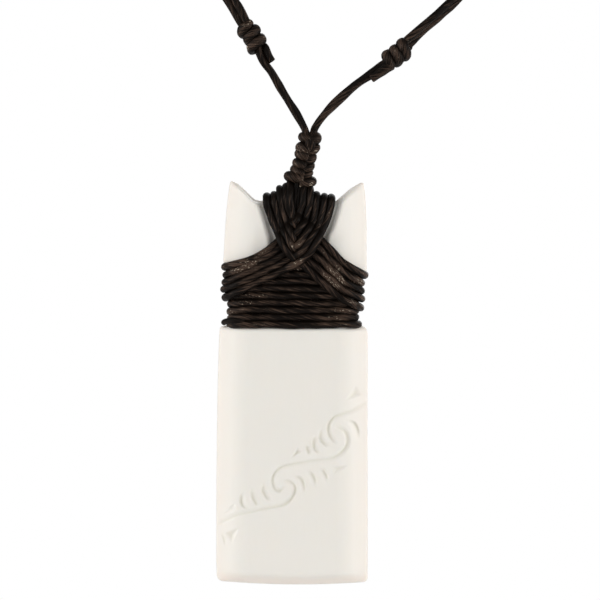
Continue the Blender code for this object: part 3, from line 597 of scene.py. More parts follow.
class Nodes:
    """Adds nodes to a material or a world. An input is a value, a colour or a node's output."""

    def __init__(self, owner):
        owner.use_nodes = True
        self.owner = owner
        self.tree = owner.node_tree

    def node(self, kind, inputs=(), **settings):
        made = self.tree.nodes.new(kind)
        for name, value in settings.items():
            setattr(made, name, value)
        for key, value in dict(inputs).items():
            self.set(made.inputs[key], value)
        return made

    def set(self, socket, value):
        if isinstance(value, bpy.types.NodeSocket):
            self.tree.links.new(value, socket)
        elif socket.type == "RGBA":
            socket.default_value = (*value, 1.0)
        else:
            socket.default_value = value

    def math(self, operation, *values):
        return self.node("ShaderNodeMath", enumerate(values), operation=operation).outputs[0]

    def weighed(self, *parts):
        """Sum of values, each times its share."""
        total = 0.0
        for value, share in parts:
            total = self.math("MULTIPLY_ADD", value, share, total)
        return total

    def object_place(self):
        return self.node("ShaderNodeTexCoord").outputs["Object"]

    def noise(self, vector, stretch, detail, roughness=0.55):
        """Noise of unit size on a vector stretched along each of its axes."""
        inputs = {0: vector, 1: stretch}
        stretched = self.node("ShaderNodeVectorMath", inputs, operation="MULTIPLY").outputs[0]
        inputs = {"Vector": stretched, "Scale": 1.0, "Detail": detail, "Roughness": roughness}
        return self.node("ShaderNodeTexNoise", inputs).outputs["Fac"]

    def ramp(self, value, low, high, to_low=0.0, to_high=1.0):
        inputs = enumerate((value, low, high, to_low, to_high))
        return self.node("ShaderNodeMapRange", inputs, interpolation_type="SMOOTHSTEP").outputs[0]

    def blend(self, share, first, second):
        made = self.node("ShaderNodeMix", {0: share}, data_type="RGBA")
        self.set(made.inputs[6], first)
        self.set(made.inputs[7], second)
        return made.outputs[2]

    def attribute(self, name, output="Fac"):
        return self.node("ShaderNodeAttribute", attribute_name=name).outputs[output]

    def bump(self, height, distance, strength):
        inputs = {"Height": height, "Distance": distance, "Strength": strength}
        return self.node("ShaderNodeBump", inputs).outputs["Normal"]

    def fill(self, name, **inputs):
        """Sets inputs of a node that every new tree has."""
        node = self.tree.nodes[name]
        for key, value in inputs.items():
            self.set(node.inputs[key.replace("_", " ")], value)
        return node

    def finish(self, **inputs):
        self.fill("Principled BSDF", **inputs)
        return self.owner


def per_mm(*repeats):
    """Repeats per mm along x, y and z, for a place in metres."""
    return tuple(count / MM for count in repeats)


def bone_material(plate):
    """Polished bone: faint clouds, grain along its length, warm bevels, beige inside the cuts."""
    shader = Nodes(bpy.data.materials.new("carved_bone"))
    place = shader.object_place()
    clouds = shader.ramp(shader.noise(place, per_mm(0.16, 0.16, 0.16), 2.0), 0.3, 0.7)
    grain = shader.noise(place, per_mm(2.6, 2.6, 0.22), 4.0, 0.6)
    pores = shader.noise(place, per_mm(9.0, 9.0, 1.6), 2.0, 0.5)
    warmth = shader.weighed((clouds, 0.16), (shader.attribute("bevel"), 0.5))
    colour = shader.blend(warmth, plate.bone, plate.warm)
    for toned, share in (
        (shader.ramp(grain, 0.5, 0.8), 0.07),
        (shader.ramp(pores, 0.7, 0.82), 0.12),
        (shader.attribute("carved"), 0.85),
    ):
        colour = shader.blend(shader.math("MULTIPLY", toned, share), colour, plate.cut)
    return shader.finish(
        Base_Color=colour,
        Roughness=shader.ramp(grain, 0.3, 0.7, 0.36, 0.46),
        Normal=shader.bump(shader.weighed((grain, 0.6), (pores, 0.4)), 0.012 * MM, 0.5),
        IOR=1.5,
        Specular_IOR_Level=0.35,
        Subsurface_Weight=0.12,
        Subsurface_Radius=(1.0, 0.75, 0.5),
        Subsurface_Scale=0.5 * MM,
    )


CORD_MATERIAL = "twisted_waxed_cord"


def cord_material(cord):
    """Black waxed cord: painted highlight streaks along its long fibres, and wax cracked into specks.

    All pieces of cord share one material, which is made with the first of them.
    """
    if CORD_MATERIAL in bpy.data.materials:
        return bpy.data.materials[CORD_MATERIAL]
    shader = Nodes(bpy.data.materials.new(CORD_MATERIAL))
    strand = shader.attribute("strand", "Vector")
    worn = shader.attribute("worn")
    parts = shader.node("ShaderNodeSeparateXYZ", {0: strand})
    turn = shader.math("ARCTAN2", parts.outputs[1], parts.outputs[0])
    plies = shader.math("SINE", shader.math("MULTIPLY", turn, 2.0 * PLIES))
    streaks = shader.noise(strand, (4.6, 4.6, 0.4), 3.0, 0.6)
    fibres = shader.noise(strand, (10.0, 10.0, 0.8), 2.0, 0.6)
    bloom = shader.noise(strand, (0.5, 0.5, 0.16), 1.0, 0.5)
    flecks = shader.noise(strand, (6.2, 6.2, 3.6), 1.0, 0.4)
    # Painted highlight: streaks of the fibres painted lighter, more of them where the strand is marked
    # as worn and lit
    lit = shader.ramp(shader.weighed((streaks, 1.0), (bloom, 0.3), (worn, 0.16)), 0.63, 0.9)
    lit = shader.math("MULTIPLY", lit, shader.ramp(fibres, 0.34, 0.62, 0.35, 1.0))
    cracked = shader.ramp(shader.weighed((bloom, 1.0), (worn, 0.2)), 0.66, 0.8)
    speck = shader.math("MULTIPLY", shader.ramp(flecks, 0.61, 0.71), cracked)
    colour = shader.blend(lit, cord.cord, cord.painted_highlight)
    return shader.finish(
        Base_Color=shader.blend(speck, colour, cord.wax),
        Roughness=shader.ramp(lit, 0.0, 1.0, 0.46, 0.34),
        Normal=shader.bump(shader.weighed((plies, 0.14), (fibres, 1.0)), 0.05 * MM, 0.7),
        IOR=1.45,
        Specular_IOR_Level=0.08,
    )


def rounding(distance, reach, power=EDGE_POWER):
    """Share of the full thickness at a distance from a rounded rim."""
    inward = np.clip(distance / reach, 0.0, 1.0)
    return (1 - (1 - inward) ** power) ** (1 / power)


def chamfer(distance, reach):
    """Share of the full thickness on a bevel that starts flat and then rounds into the face."""
    flat = SIDE_FLAT_SHARE * reach
    inward = np.clip(distance, 0.0, reach)
    past = np.clip(inward - flat, 0.0, None)
    return (inward - past ** 2 / (2 * (reach - flat))) / ((reach + flat) / 2)


def waist_share(x, z):
    """1 in the recessed waist, 0 outside it, with a short ramp at each shoulder."""
    high = WAIST_HIGH - WAIST_FALL * x
    return np.clip(np.minimum((z - WAIST_LOW) / SHOULDER, (high - z) / SHOULDER), 0.0, 1.0)


def shoulder_round(z, radius):
    """How far the side turns in at the round corner below the waist."""
    inward = np.where(z < WAIST_LOW + SHOULDER, np.clip(z - WAIST_LOW + radius, 0.0, radius), 0.0)
    return radius - np.sqrt(radius ** 2 - inward ** 2)


def plate_sides(z):
    left = hermite(PLATE_SIDES, 1, z) + shoulder_round(z, SHOULDER_LEFT_RADIUS)
    right = hermite(PLATE_SIDES, 2, z) - shoulder_round(z, SHOULDER_RIGHT_RADIUS)
    left_share = waist_share(PLATE_SIDES[0][1], z)
    right_share = waist_share(PLATE_SIDES[0][2], z)
    left = mix(left, WAIST_LEFT, left_share)
    right = mix(right, WAIST_RIGHT, right_share)
    return left + RIM_BULGE, right - RIM_BULGE


def plate_bottom(x):
    """The bottom edge, bowed down in the middle, with small round corners."""
    left, right = plate_sides(1.0)
    bow = RIM_BULGE + BOTTOM_DIP + BOTTOM_BOW * ((x - BOTTOM_MIDDLE) / right) ** 2
    radius = np.where(x < BOTTOM_MIDDLE, CORNER_LEFT_RADIUS, CORNER_RIGHT_RADIUS)
    inward = np.clip(radius - np.minimum(x - left, right - x), 0.0, radius)
    return bow + radius - np.sqrt(radius ** 2 - inward ** 2)


def plate_levels():
    """Heights of the plate's rows."""
    band = np.arange(BAND_LOW, BAND_HIGH, BAND_STEP)
    body = np.arange(BODY_LOW, WAIST_LOW - CORNER_DROPS[0], BODY_STEP)
    corner = WAIST_LOW - np.array(CORNER_DROPS)
    rise = 1 - (1 - np.linspace(0, 1, HORN_ROWS)) ** HORN_CROWDING
    horns = mix(HORN_FOOT + 0.2, HORN_TOP, rise)
    return np.concatenate([BOTTOM_LEVELS, band, body, corner, WAIST_LEVELS, horns])


def plate_grid():
    """x and z of the plate's columns and rows."""
    across = np.linspace(-1, 1, COLUMNS)
    across = np.sign(across) * (1 - (1 - np.abs(across)) ** COLUMN_CROWDING)
    share = ((across + 1) / 2)[:, None]
    levels = plate_levels()[None, :]
    low_fade = np.clip(1 - levels / BAND_LOW, 0.0, 1.0)
    rise = np.clip((levels - HORN_FOOT) / (HORN_TOP - HORN_FOOT), 0.0, 1.0)
    fall = WAIST_FALL * smoothstep(*FALL_BEGINS, levels) * (1 - smoothstep(*FALL_ENDS, levels))
    z = np.broadcast_to(levels, (COLUMNS, levels.shape[1])).astype(float)
    for _ in range(GRID_ROUNDS):
        left, right = plate_sides(z)
        x = mix(left, right, share)
        top = hermite(PLATE_TOP, 1, x)
        below = levels + plate_bottom(x) * low_fade - fall * x
        z = np.where(levels > HORN_FOOT, mix(HORN_FOOT, top, rise), below)
    return x, z


def cut_shape(x, z, line, slope):
    """Depth of a cut with a steep wall at its line and a gentle slope to the line's left."""
    nearest = np.full(x.shape, np.inf)
    depth = np.zeros(x.shape)
    for (ax, az, start), (bx, bz, end) in zip(line, line[1:]):
        dx, dz = bx - ax, bz - az
        t = np.clip(((x - ax) * dx + (z - az) * dz) / (dx * dx + dz * dz), 0.0, 1.0)
        away_x, away_z = x - ax - dx * t, z - az - dz * t
        far = np.hypot(away_x, away_z)
        width = np.where(dx * away_z - dz * away_x > 0, slope, WALL_WIDTH)
        here = mix(start, end, t) * smoothstep(1.0, 0.0, far / width)
        depth = np.where(far < nearest, here, depth)
        nearest = np.minimum(nearest, far)
    return depth, nearest


def chip_shape(x, z, corners):
    """A three-sided hollow, 1 in its middle and 0 along its sides."""
    (ax, az), (bx, bz), (cx, cz) = corners
    whole = (bx - ax) * (cz - az) - (cx - ax) * (bz - az)
    b = ((x - ax) * (cz - az) - (cx - ax) * (z - az)) / whole
    c = ((bx - ax) * (z - az) - (x - ax) * (bz - az)) / whole
    return np.clip(3 * np.minimum(np.minimum(1 - b - c, b), c), 0.0, 1.0)


def carved_lines():
    """Each cut of the band as points (x, z, depth share) close together, with its slope's width."""
    for line in BAND_LINES:
        yield smooth_points(line, LINE_STEPS), LINE_SLOPE
    for claw in CLAWS:
        points = smooth_points(claw, CLAW_STEPS)
        t = np.linspace(-1, 1, len(points))
        yield np.column_stack([points, 1 - CLAW_FADE * t ** 2]), CLAW_SLOPE


def carving(x, z):
    """Depth of the carved band, and how much darker its walls are coloured, both as shares."""
    depth, cut_darkening = np.zeros(x.shape), np.zeros(x.shape)
    for line, slope in carved_lines():
        near = (
            (x > line[:, 0].min() - slope) & (x < line[:, 0].max() + slope)
            & (z > line[:, 1].min() - slope) & (z < line[:, 1].max() + slope)
        )
        here, far = cut_shape(x[near], z[near], line, slope)
        depth[near] = np.maximum(depth[near], here)
        cut_darkening[near] = np.maximum(cut_darkening[near], here * smoothstep(CUT_DARKENING_REACH, 0.0, far))
    return depth, cut_darkening


def plate_depth(x, z, plate, facing):
    """Half-thickness of the plate on one face, with what marks its bevels and its carving."""
    left, right = plate_sides(z)
    waist = waist_share(x, z)
    full = mix(plate.half_thickness / MM, WAIST_HALF_THICKNESS, waist)
    below = np.where(z < WAIST_LOW, WAIST_LOW - z, SHOULDER_BEVEL)
    round_share = rounding(below + SHOULDER_BEVEL_START, SHOULDER_BEVEL)
    full = mix(WAIST_HALF_THICKNESS, full, round_share)
    rim = mix(RIM_HALF_THICKNESS, WAIST_RIM_HALF_THICKNESS, waist)
    side_bevel = mix(plate.side_bevel / MM, WAIST_BEVEL, waist)
    side = chamfer(np.minimum(x - left, right - x), side_bevel)
    bottom = rounding(z - plate_bottom(x), plate.bottom_bevel / MM, BOTTOM_POWER)
    widened = mix(LEFT_TOP_BEVEL, 1.0, smoothstep(*TOP_BEVEL_WIDENS, x))
    top = rounding(hermite(PLATE_TOP, 1, x) - z, plate.top_bevel / MM * widened)
    share = side * bottom * top
    inside = np.minimum(x - hermite(CHANNEL_EDGES, 1, z), hermite(CHANNEL_EDGES, 2, z) - x)
    sunk = smoothstep(*CHANNEL_WALL, inside) * (z > CHANNEL_LOW)
    full = full - sunk * plate.channel_depth / MM * (1 - waist)
    depth, cut_darkening = np.zeros(x.shape), np.zeros(x.shape)
    if facing < 0:
        depth, cut_darkening = carving(x, z)
        depth *= plate.cut_depth / MM
        for corners, chip in CHIPS:
            hollow = chip_shape(x, z, corners)
            depth = np.maximum(depth, hollow * chip)
            cut_darkening = np.maximum(cut_darkening, hollow * chip / DARKEST_CHIP_DEPTH)
    bevel = 1 - side * bottom ** 2 + BOTTOM_WARMTH * (1 - bottom)
    return mix(rim, full, share) - depth, bevel, cut_darkening


def build_plate_mesh(plate):
    """Front and back faces as grids, joined round their outline by a rounded rim."""
    x, z = plate_grid()
    points, bevels, cuts = [], [], []
    for facing in (-1, 1):
        depth, bevel, cut_darkening = plate_depth(x, z, plate, facing)
        points.append(np.stack([x, facing * depth, z], axis=-1).reshape(-1, 3))
        bevels.append(bevel.ravel())
        cuts.append(cut_darkening.ravel())
    index = np.arange(x.size).reshape(x.shape)
    corners = [index[:-1, :-1], index[1:, :-1], index[1:, 1:], index[:-1, 1:]]
    cells = np.stack(corners, axis=-1).reshape(-1, 4)
    faces = [cells, cells[:, ::-1] + x.size]
    outline = np.concatenate([index[:-1, 0], index[-1, :-1], index[:0:-1, -1], index[0, :0:-1]])
    front, back = points[0][outline], points[1][outline]
    ahead = np.roll(front, -1, axis=0) - np.roll(front, 1, axis=0)
    outward = unit(np.column_stack([ahead[:, 2], np.zeros(len(front)), -ahead[:, 0]]))
    rings = [outline]
    for ring in range(1, RIM_RINGS + 1):
        share = ring / (RIM_RINGS + 1)
        round_share = (1 - math.cos(math.pi * share)) / 2
        bulge = RIM_BULGE * math.sin(math.pi * share)
        points.append(mix(front, back, round_share) + outward * bulge)
        bevels.append(np.ones(len(outline)))
        cuts.append(np.zeros(len(outline)))
        rings.append(sum(map(len, points[:-1])) + np.arange(len(outline)))
    rings.append(outline + x.size)
    for near, far in zip(rings, rings[1:]):
        faces.append(np.stack([near, far, np.roll(far, -1), np.roll(near, -1)], axis=-1))
    mesh = bpy.data.meshes.new("carved_plate")
    mesh.from_pydata(on_pendant(np.vstack(points)).tolist(), [], np.vstack(faces).tolist())
    add_layer(mesh, "bevel", np.concatenate(bevels))
    add_layer(mesh, "carved", np.concatenate(cuts))
    return mesh


class NECKLACE_OT_bone_plate(bpy.types.Operator):
    """Build the carved bone plate with its horns, notch, channels and carved band"""

    bl_idname = "necklace.bone_plate"
    bl_label = "Bone Plate"

    def execute(self, context):
        plate = context.scene.necklace_plate
        piece = place_piece("carved_plate", build_plate_mesh(plate), bone_material(plate))
        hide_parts("bone_plate")
        return {"FINISHED"}


# The waist's winding: height of its first turn, and how much darker it is than the bands
WAIST_START = 36.1
WAIST_SHADE = 0.05
# The waist's turns are pressed together so that no bone shows between them
WAIST_SWELL = 1.06
WAIST_CLEARANCE = 0.02
# x where a turn leaves the face, and how far past it the turn reaches at the edges
WAIST_CORNER = 6.8
LEFT_REACH, RIGHT_REACH, FIRST_RIGHT_REACH = 2.35, 1.58, 2.0
# How far a turn rises round the left edge, in pitches, and how far it sags on the front
TURN_RISE, FIRST_TURN_RISE = 0.5, 0.15
WAIST_SAG = 0.07
KEYS_A_SIDE = 14
# The cord's first end, laid over the lowest turn at the left edge, and its share of the diameter
TUCKED_END = ((-10.0, -0.5, 36.36), (-9.7, -1.3, 36.5), (-8.7, -2.25, 36.62), (-7.2, -2.4, 36.58))
TUCKED_RADIUS = 0.42
# Distance between the rings of a binding's mesh, and the wavelengths in which bindings stray
RING_STEP = 0.24
WAIST_WAVELENGTH, CROSS_WAVELENGTH = 9.0, 7.0


def edge_arc(corner, reach, depth, low, high):
    """Half a turn round the plate's edge, from the back to the front, in mm."""
    turn = np.linspace(math.pi / 2, -math.pi / 2, KEYS_A_SIDE)
    z = mix(low, high, np.linspace(0, 1, KEYS_A_SIDE))
    return np.column_stack([corner + reach * np.cos(turn), depth * np.sin(turn), z])


def waist_path(binding):
    """The winding round the waist, which falls to the right as the upper shoulder does, in mm."""
    pitch = binding.pitch / MM
    depth = WAIST_HALF_THICKNESS + binding.diameter / MM / 2 + WAIST_CLEARANCE
    face_x = np.linspace(-WAIST_CORNER, WAIST_CORNER, KEYS_A_SIDE + 2)[1:-1]
    face_depth = np.full(KEYS_A_SIDE, depth)
    sag = WAIST_SAG * (1 - (face_x / WAIST_CORNER) ** 2)
    keys = []
    for turn in range(binding.turns):
        z = WAIST_START + pitch * turn
        rise, reach = (TURN_RISE, RIGHT_REACH) if turn else (FIRST_TURN_RISE, FIRST_RIGHT_REACH)
        keys.append(edge_arc(-WAIST_CORNER, -LEFT_REACH, depth, z - pitch * rise, z))
        keys.append(np.column_stack([face_x, -face_depth, z - sag]))
        keys.append(edge_arc(WAIST_CORNER, reach, depth, z, z)[::-1])
        back_z = mix(z, z + pitch / 2, np.linspace(0, 1, KEYS_A_SIDE))
        keys.append(np.column_stack([-face_x, face_depth, back_z]))
    path = even_points(smooth_points(np.vstack(keys), 3), RING_STEP)
    risen = np.clip((path[:, 2] - WAIST_START) / (pitch * (binding.turns - 1)), 0.0, 1.0)
    path[:, 2] -= WAIST_FALL * np.clip(path[:, 0], 0.0, None) * risen
    return path


class NECKLACE_OT_waist_lashing(bpy.types.Operator):
    """Wind the cord round the plate's waist"""

    bl_idname = "necklace.waist_lashing"
    bl_label = "Waist Lashing"

    def execute(self, context):
        binding = context.scene.necklace_binding
        cord = CordMesh(11)
        path = strayed(waist_path(binding), binding.wander / MM, WAIST_WAVELENGTH, cord.rng)
        looks = {"worn": front_wear_and_painted_light(path) - WAIST_SHADE, "outward": away_from_plate(path)}
        cord.add(on_pendant(path), binding.diameter / 2 * WAIST_SWELL, **looks)
        end = on_pendant(even_points(smooth_points(TUCKED_END), FINE_STEP))
        cord.add(end, binding.diameter * TUCKED_RADIUS)
        piece = cord.build("waist_winding")
        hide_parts("waist_lashing")
        return {"FINISHED"}


# Depth of a strand's middle in front: on the waist, in the channel, and more on the other band.
# A strand sinks into the channel between these heights
BAND_DEPTH, FAN_DEPTH, LAYER = 3.3, 2.0, 0.88
SINKS_INTO_CHANNEL = (46.5, 52.0)
# The upper band climbs on the other within these widths before the middle, low down and higher
# up, and the lower band within this width past it
LOW_CLIMB, HIGH_CLIMB, CLIMB_HEIGHTS = 1.7, 0.5, (44.4, 45.3)
UNDER_CLIMB = 0.55
# How high the other band's innermost strand is over a point that begins to lie on that band, and
# over one that lies on it fully
LIES_ON = (-1.2, 0.3)
# Keys of a quarter turn over an edge, steps from key to key, and points of a whole pass
QUARTER_KEYS, PASS_STEPS, PASS_POINTS = 8, 10, 260
# The first end runs below the first turn on the back, nearer to the plate and to its middle
TUCKED_POINTS, TUCKED_SHARES = slice(12, 62), (0.97, 0.82, 1.0)
# The last end dives below the other turns: shares of the pass, and how far in mm
DIVE_START, DIVE_END, DIVE_DEPTH = 0.68, 0.8, 1.3
# Strands of a lower layer: how much lower, their points, and the distance between their rings
FILLER_DROP = 0.55
FILLER_POINTS, FILLER_SPAN, FILLER_STEP = 90, slice(12, -7), 0.3
MIRROR = np.array([1.0, -1.0, 1.0])


def band_line(x, strands):
    """Height of a band's innermost strand at x, which bounds where the band lies."""
    points = np.array(strands[0][1])
    order = np.argsort(points[:, 0])
    return np.interp(x, points[order, 0], points[order, 1])


def cross_depth(x, z, side, over):
    """Depth of a strand's middle on the front: on the waist, the other band or the channel."""
    base = mix(BAND_DEPTH, FAN_DEPTH, smoothstep(*SINKS_INTO_CHANNEL, z))
    other = LEFT_STRANDS if side > 0 else RIGHT_STRANDS
    passed = -side * x
    width = mix(LOW_CLIMB, HIGH_CLIMB, smoothstep(*CLIMB_HEIGHTS, z))
    climb = smoothstep(0.0, 1.0, passed / width + 1 if over else passed / UNDER_CLIMB)
    return base + LAYER * climb * smoothstep(*LIES_ON, band_line(x, other) - z)


def front_pass(strand, side, over):
    """One diagonal pass up the front, from the plate's edge at y = 0 to the top of the notch."""
    (edge_x, edge_z), points, top_z = strand
    corner_x, corner_z = points[0]
    quarter = np.linspace(0, math.pi / 2, QUARTER_KEYS + 1)
    turn, lift = quarter[:-1], quarter[1:]
    arc = np.column_stack([
        mix(corner_x, edge_x, np.cos(turn)),
        -BAND_DEPTH * np.sin(turn),
        mix(edge_z, corner_z, 1 - np.cos(turn)),
    ])
    x, z = smooth_points(points, PASS_STEPS).T
    depth = cross_depth(x, z, side, over)
    over_top = np.column_stack([
        np.full(QUARTER_KEYS, x[-1]),
        -depth[-1] * np.cos(lift),
        mix(z[-1], top_z, np.sin(lift)),
    ])
    return even_points(np.vstack([arc, np.column_stack([x, -depth, z]), over_top]), FINE_STEP)


def cross_path(strands, side, over):
    """Five turns: up the front, over the notch and down the back to the next turn's start."""
    passes = [at_shares(front_pass(strand, side, over), PASS_POINTS) for strand in strands]
    shift = np.linspace(1, 0, PASS_POINTS)[:, None]
    path = [passes[0][TUCKED_POINTS][::-1] * MIRROR * TUCKED_SHARES]
    for here, following in zip(passes, passes[1:]):
        path.append(here[:-1])
        path.append((mix(here, following, shift) * MIRROR)[:0:-1])
    dive = (passes[-1] * MIRROR)[::-1][: round(PASS_POINTS * DIVE_END)]
    reached = np.arange(len(dive)) / PASS_POINTS
    dive[:, 1] -= DIVE_DEPTH * smoothstep(DIVE_START, DIVE_END, reached)
    return np.vstack([*path, passes[-1][:-1], dive])


def fillers(strands, side, over):
    """Strands of a lower layer, under the gaps between neighbours, in front and in the notch."""
    passes = [at_shares(front_pass(strand, side, over), FILLER_POINTS) for strand in strands]
    for here, following in zip(passes, passes[1:]):
        middle = (here + following) / 2
        middle[:, 1] += FILLER_DROP
        yield middle[FILLER_SPAN]


# Spots where the wax is rubbed into specks, which also get more painted highlight streaks: x, z, reach
# across and up, amount
RUBBED_SPOTS = (
    (-7.5, 44.1, 2.4, 1.1, 1.3),
    (5.0, 42.8, 1.9, 2.0, 1.3),
    (8.8, 42.5, 1.2, 0.9, 1.3),
    (-0.1, 44.4, 1.6, 0.9, 1.1),
    (0.0, 47.3, 1.3, 1.5, 0.8),
    (-8.0, 37.6, 2.2, 1.8, 0.7),
    (7.4, 37.6, 2.2, 1.8, 0.7),
)
SPOT_EDGE = (1.2, 0.4)
# Wear and painted highlight of the bands below this height, and painted shade with less wear on the
# crossing between them: x where each begins
BAND_WEAR_AND_HIGHLIGHT, MIDDLE_SHADE_AND_WEAR = 0.12, -0.3
BAND_MARK_TOP, BAND_MARK_SIDES = 49.0, (1.8, 4.0)
# x between which a turn comes to face sideways
SIDEWAYS = (8.0, 9.4)


def away_from_plate(path):
    """Directions out of the plate: forward or back on its faces, and sideways past its edges."""
    x, y, _ = path.T
    sideways = smoothstep(*SIDEWAYS, np.abs(x))
    forward = np.sign(y) * (1 - sideways)
    return unit(np.column_stack([np.sign(x) * sideways, forward, np.zeros(len(path))]))


def front_wear_and_painted_light(path):
    """How worn the wax is on the front, with painted light: wear and painted highlight along both
    bands, painted shade in the middle, and most wear in a few spots.
    """
    x, y, z = path.T
    worn = mix(MIDDLE_SHADE_AND_WEAR, BAND_WEAR_AND_HIGHLIGHT, smoothstep(*BAND_MARK_SIDES, np.abs(x)) * (z < BAND_MARK_TOP))
    for middle_x, middle_z, across, up, amount in RUBBED_SPOTS:
        far = np.hypot((x - middle_x) / across, (z - middle_z) / up)
        worn = np.maximum(worn, mix(worn, amount, smoothstep(*SPOT_EDGE, far)))
    return np.where(y < 0.0, worn, 0.0)


class NECKLACE_OT_cross_lashings(bpy.types.Operator):
    """Wind the two crossing bindings that fan over the notch"""

    bl_idname = "necklace.cross_lashings"
    bl_label = "Cross Lashings"

    def execute(self, context):
        binding = context.scene.necklace_binding
        for name, node, strands, side, over, seed in (
            ("cross_winding_left", "cross_lashing_left", LEFT_STRANDS, -1, True, 21),
            ("cross_winding_right", "cross_lashing_right", RIGHT_STRANDS, 1, False, 22),
        ):
            cord = CordMesh(seed)
            radius = binding.cross_diameter / 2
            path = even_points(cross_path(strands, side, over), RING_STEP)
            path = strayed(path, binding.wander / MM, CROSS_WAVELENGTH, cord.rng)
            looks = {"worn": front_wear_and_painted_light(path), "outward": away_from_plate(path)}
            cord.add(on_pendant(path), radius, **looks)
            for filler in fillers(strands, side, over):
                cord.add(on_pendant(even_points(filler, FILLER_STEP)), radius, worn=DEEP_PAINTED_SHADE)
            piece = cord.build(name)
            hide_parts(node)
        return {"FINISHED"}


# A lobe's depth lies this share of the way from its reach to the column's depth
COLUMN_DEPTH, DEPTH_SHARE = 1.05, 0.6
# How far a lobe turns past each seam, in radians, and the number of its keys
SEAM_OVERLAP, LOBE_KEYS = 0.06, 26
# At a seam: how far a lobe sinks in as a share of its depth, how sharply, and its shift to the right
SEAM_SINK, SINK_POWER, SEAM_SHIFT = 0.3, 6, 0.12
# How far a lobe falls to its seams, for strands thinner than this and for others, and its lift
THIN_LOBE, THIN_SEAM_DROP, SEAM_DROP = 1.48, 0.6, 0.35
LOBE_LIFT = 0.05
LOBE_STEP = 0.14
LOBE_WANDER, LOBE_WAVELENGTH = 0.03, 3.0
# How worn a lobe's wax is and how much painted highlight it has, and how much tighter its pulled
# strand is twisted than the cord
LOBE_WEAR_AND_HIGHLIGHT, LOBE_TIGHTNESS = 0.45, 3.4
# Hidden core that fills the column: height, radius
COLUMN_CORE = ((54.6, 0.7), (55.6, 1.2), (56.6, 1.25), (57.4, 0.95), (61.9, 0.9))
CORE_KEYS, CORE_SHIFT = 30, 0.1
# Tails below the fan, each with an x of its own: shift, share of that x, depth and height
TAIL_STARTS = (-0.35, 0.25)
TAIL = (
    (0.5, 1.0, 0.7, 56.6), (0.15, 1.0, 1.0, 55.0), (0.0, 1.0, 1.35, 53.4),
    (0.0, 0.8, 1.55, 51.5), (0.0, 0.2, 1.6, 49.6),
)
TAIL_RADIUS = 0.45


def lobe_path(side, outer, z, strand):
    """Half a ring round the column, from the seam at its front to the seam at its back."""
    seam_drop = THIN_SEAM_DROP if strand < THIN_LOBE else SEAM_DROP
    axis = float(hermite(COLUMN_AXIS, 1, z))
    reach = side * (outer - axis) - strand / 2
    depth = mix(reach, COLUMN_DEPTH, DEPTH_SHARE)
    turn = np.linspace(-SEAM_OVERLAP, math.pi + SEAM_OVERLAP, LOBE_KEYS)
    facing = np.abs(np.cos(turn))
    keys = np.column_stack([
        axis + side * reach * np.sin(turn) + SEAM_SHIFT * facing,
        -depth * np.cos(turn) * (1 - SEAM_SINK * facing ** SINK_POWER),
        z - seam_drop * facing ** 2 + LOBE_LIFT,
    ])
    return even_points(smooth_points(keys, 3), LOBE_STEP)


class NECKLACE_OT_column_knot(bpy.types.Operator):
    """Stack the knotted column above the notch, with its collar and tucked tails"""

    bl_idname = "necklace.column_knot"
    bl_label = "Column Knot"

    def execute(self, context):
        cord = CordMesh(31)
        for side, outer, z, strand in COLUMN_LOBES:
            path = lobe_path(side, outer, z, strand)
            path = strayed(path, LOBE_WANDER, LOBE_WAVELENGTH, cord.rng)
            away = unit(path - [float(hermite(COLUMN_AXIS, 1, z)), 0.0, z])
            looks = {"worn": LOBE_WEAR_AND_HIGHLIGHT, "tightness": LOBE_TIGHTNESS, "outward": away}
            cord.add(on_pendant(path), strand * MM / 2, **looks)
        known, radii = np.transpose(COLUMN_CORE)
        heights = np.linspace(known[0], known[-1], CORE_KEYS)
        core_x = hermite(COLUMN_AXIS, 1, heights) + CORE_SHIFT
        core = np.column_stack([core_x, np.zeros(CORE_KEYS), heights])
        widths = np.interp(heights, known, radii)
        cord.add(on_pendant(core), widths * MM, sides=18, worn=DEEP_PAINTED_SHADE)
        for facing in (-1, 1):
            for x in TAIL_STARTS:
                keys = [(shift + share * x, facing * depth, z) for shift, share, depth, z in TAIL]
                path = even_points(smooth_points(keys), FINE_STEP)
                cord.add(on_pendant(path), TAIL_RADIUS * MM, worn=DEEP_PAINTED_SHADE)
        piece = cord.build("knotted_column")
        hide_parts("column_knot")
        return {"FINISHED"}


# y between which the route stops leaning with the pendant, and the neck's middle
LEAN_ENDS = (-118.0, -90.0)
NECK_MIDDLE = np.array([0.0, -61.0, 0.0])
# How sharply the pair's turn fades from the knots to the nape
TURN_FADE = 1.5
# How far from the route's ends the strands begin, and the distance from point to point
END_INSET, CORD_STEP = 0.3, 0.4
CORD_WANDER, CORD_WAVELENGTH = 0.05, 14.0
# Radius of a strand as a share of the cord's diameter, and of the swollen stretch on the front:
# x between which it swells, x between which it thins again, and y that is still the front
STRAND_RADIUS, SWOLLEN_RADIUS = 0.56, 0.63
# How worn the free cord's wax is and how much painted highlight it has, in its strands and in its
# knots, which are twisted tighter
CORD_WEAR_AND_HIGHLIGHT, KNOT_TIGHTNESS = 0.2, 2.5
SWELLS, THINS, FRONT_Y = (0.0, 8.0), (17.0, 14.0), -100


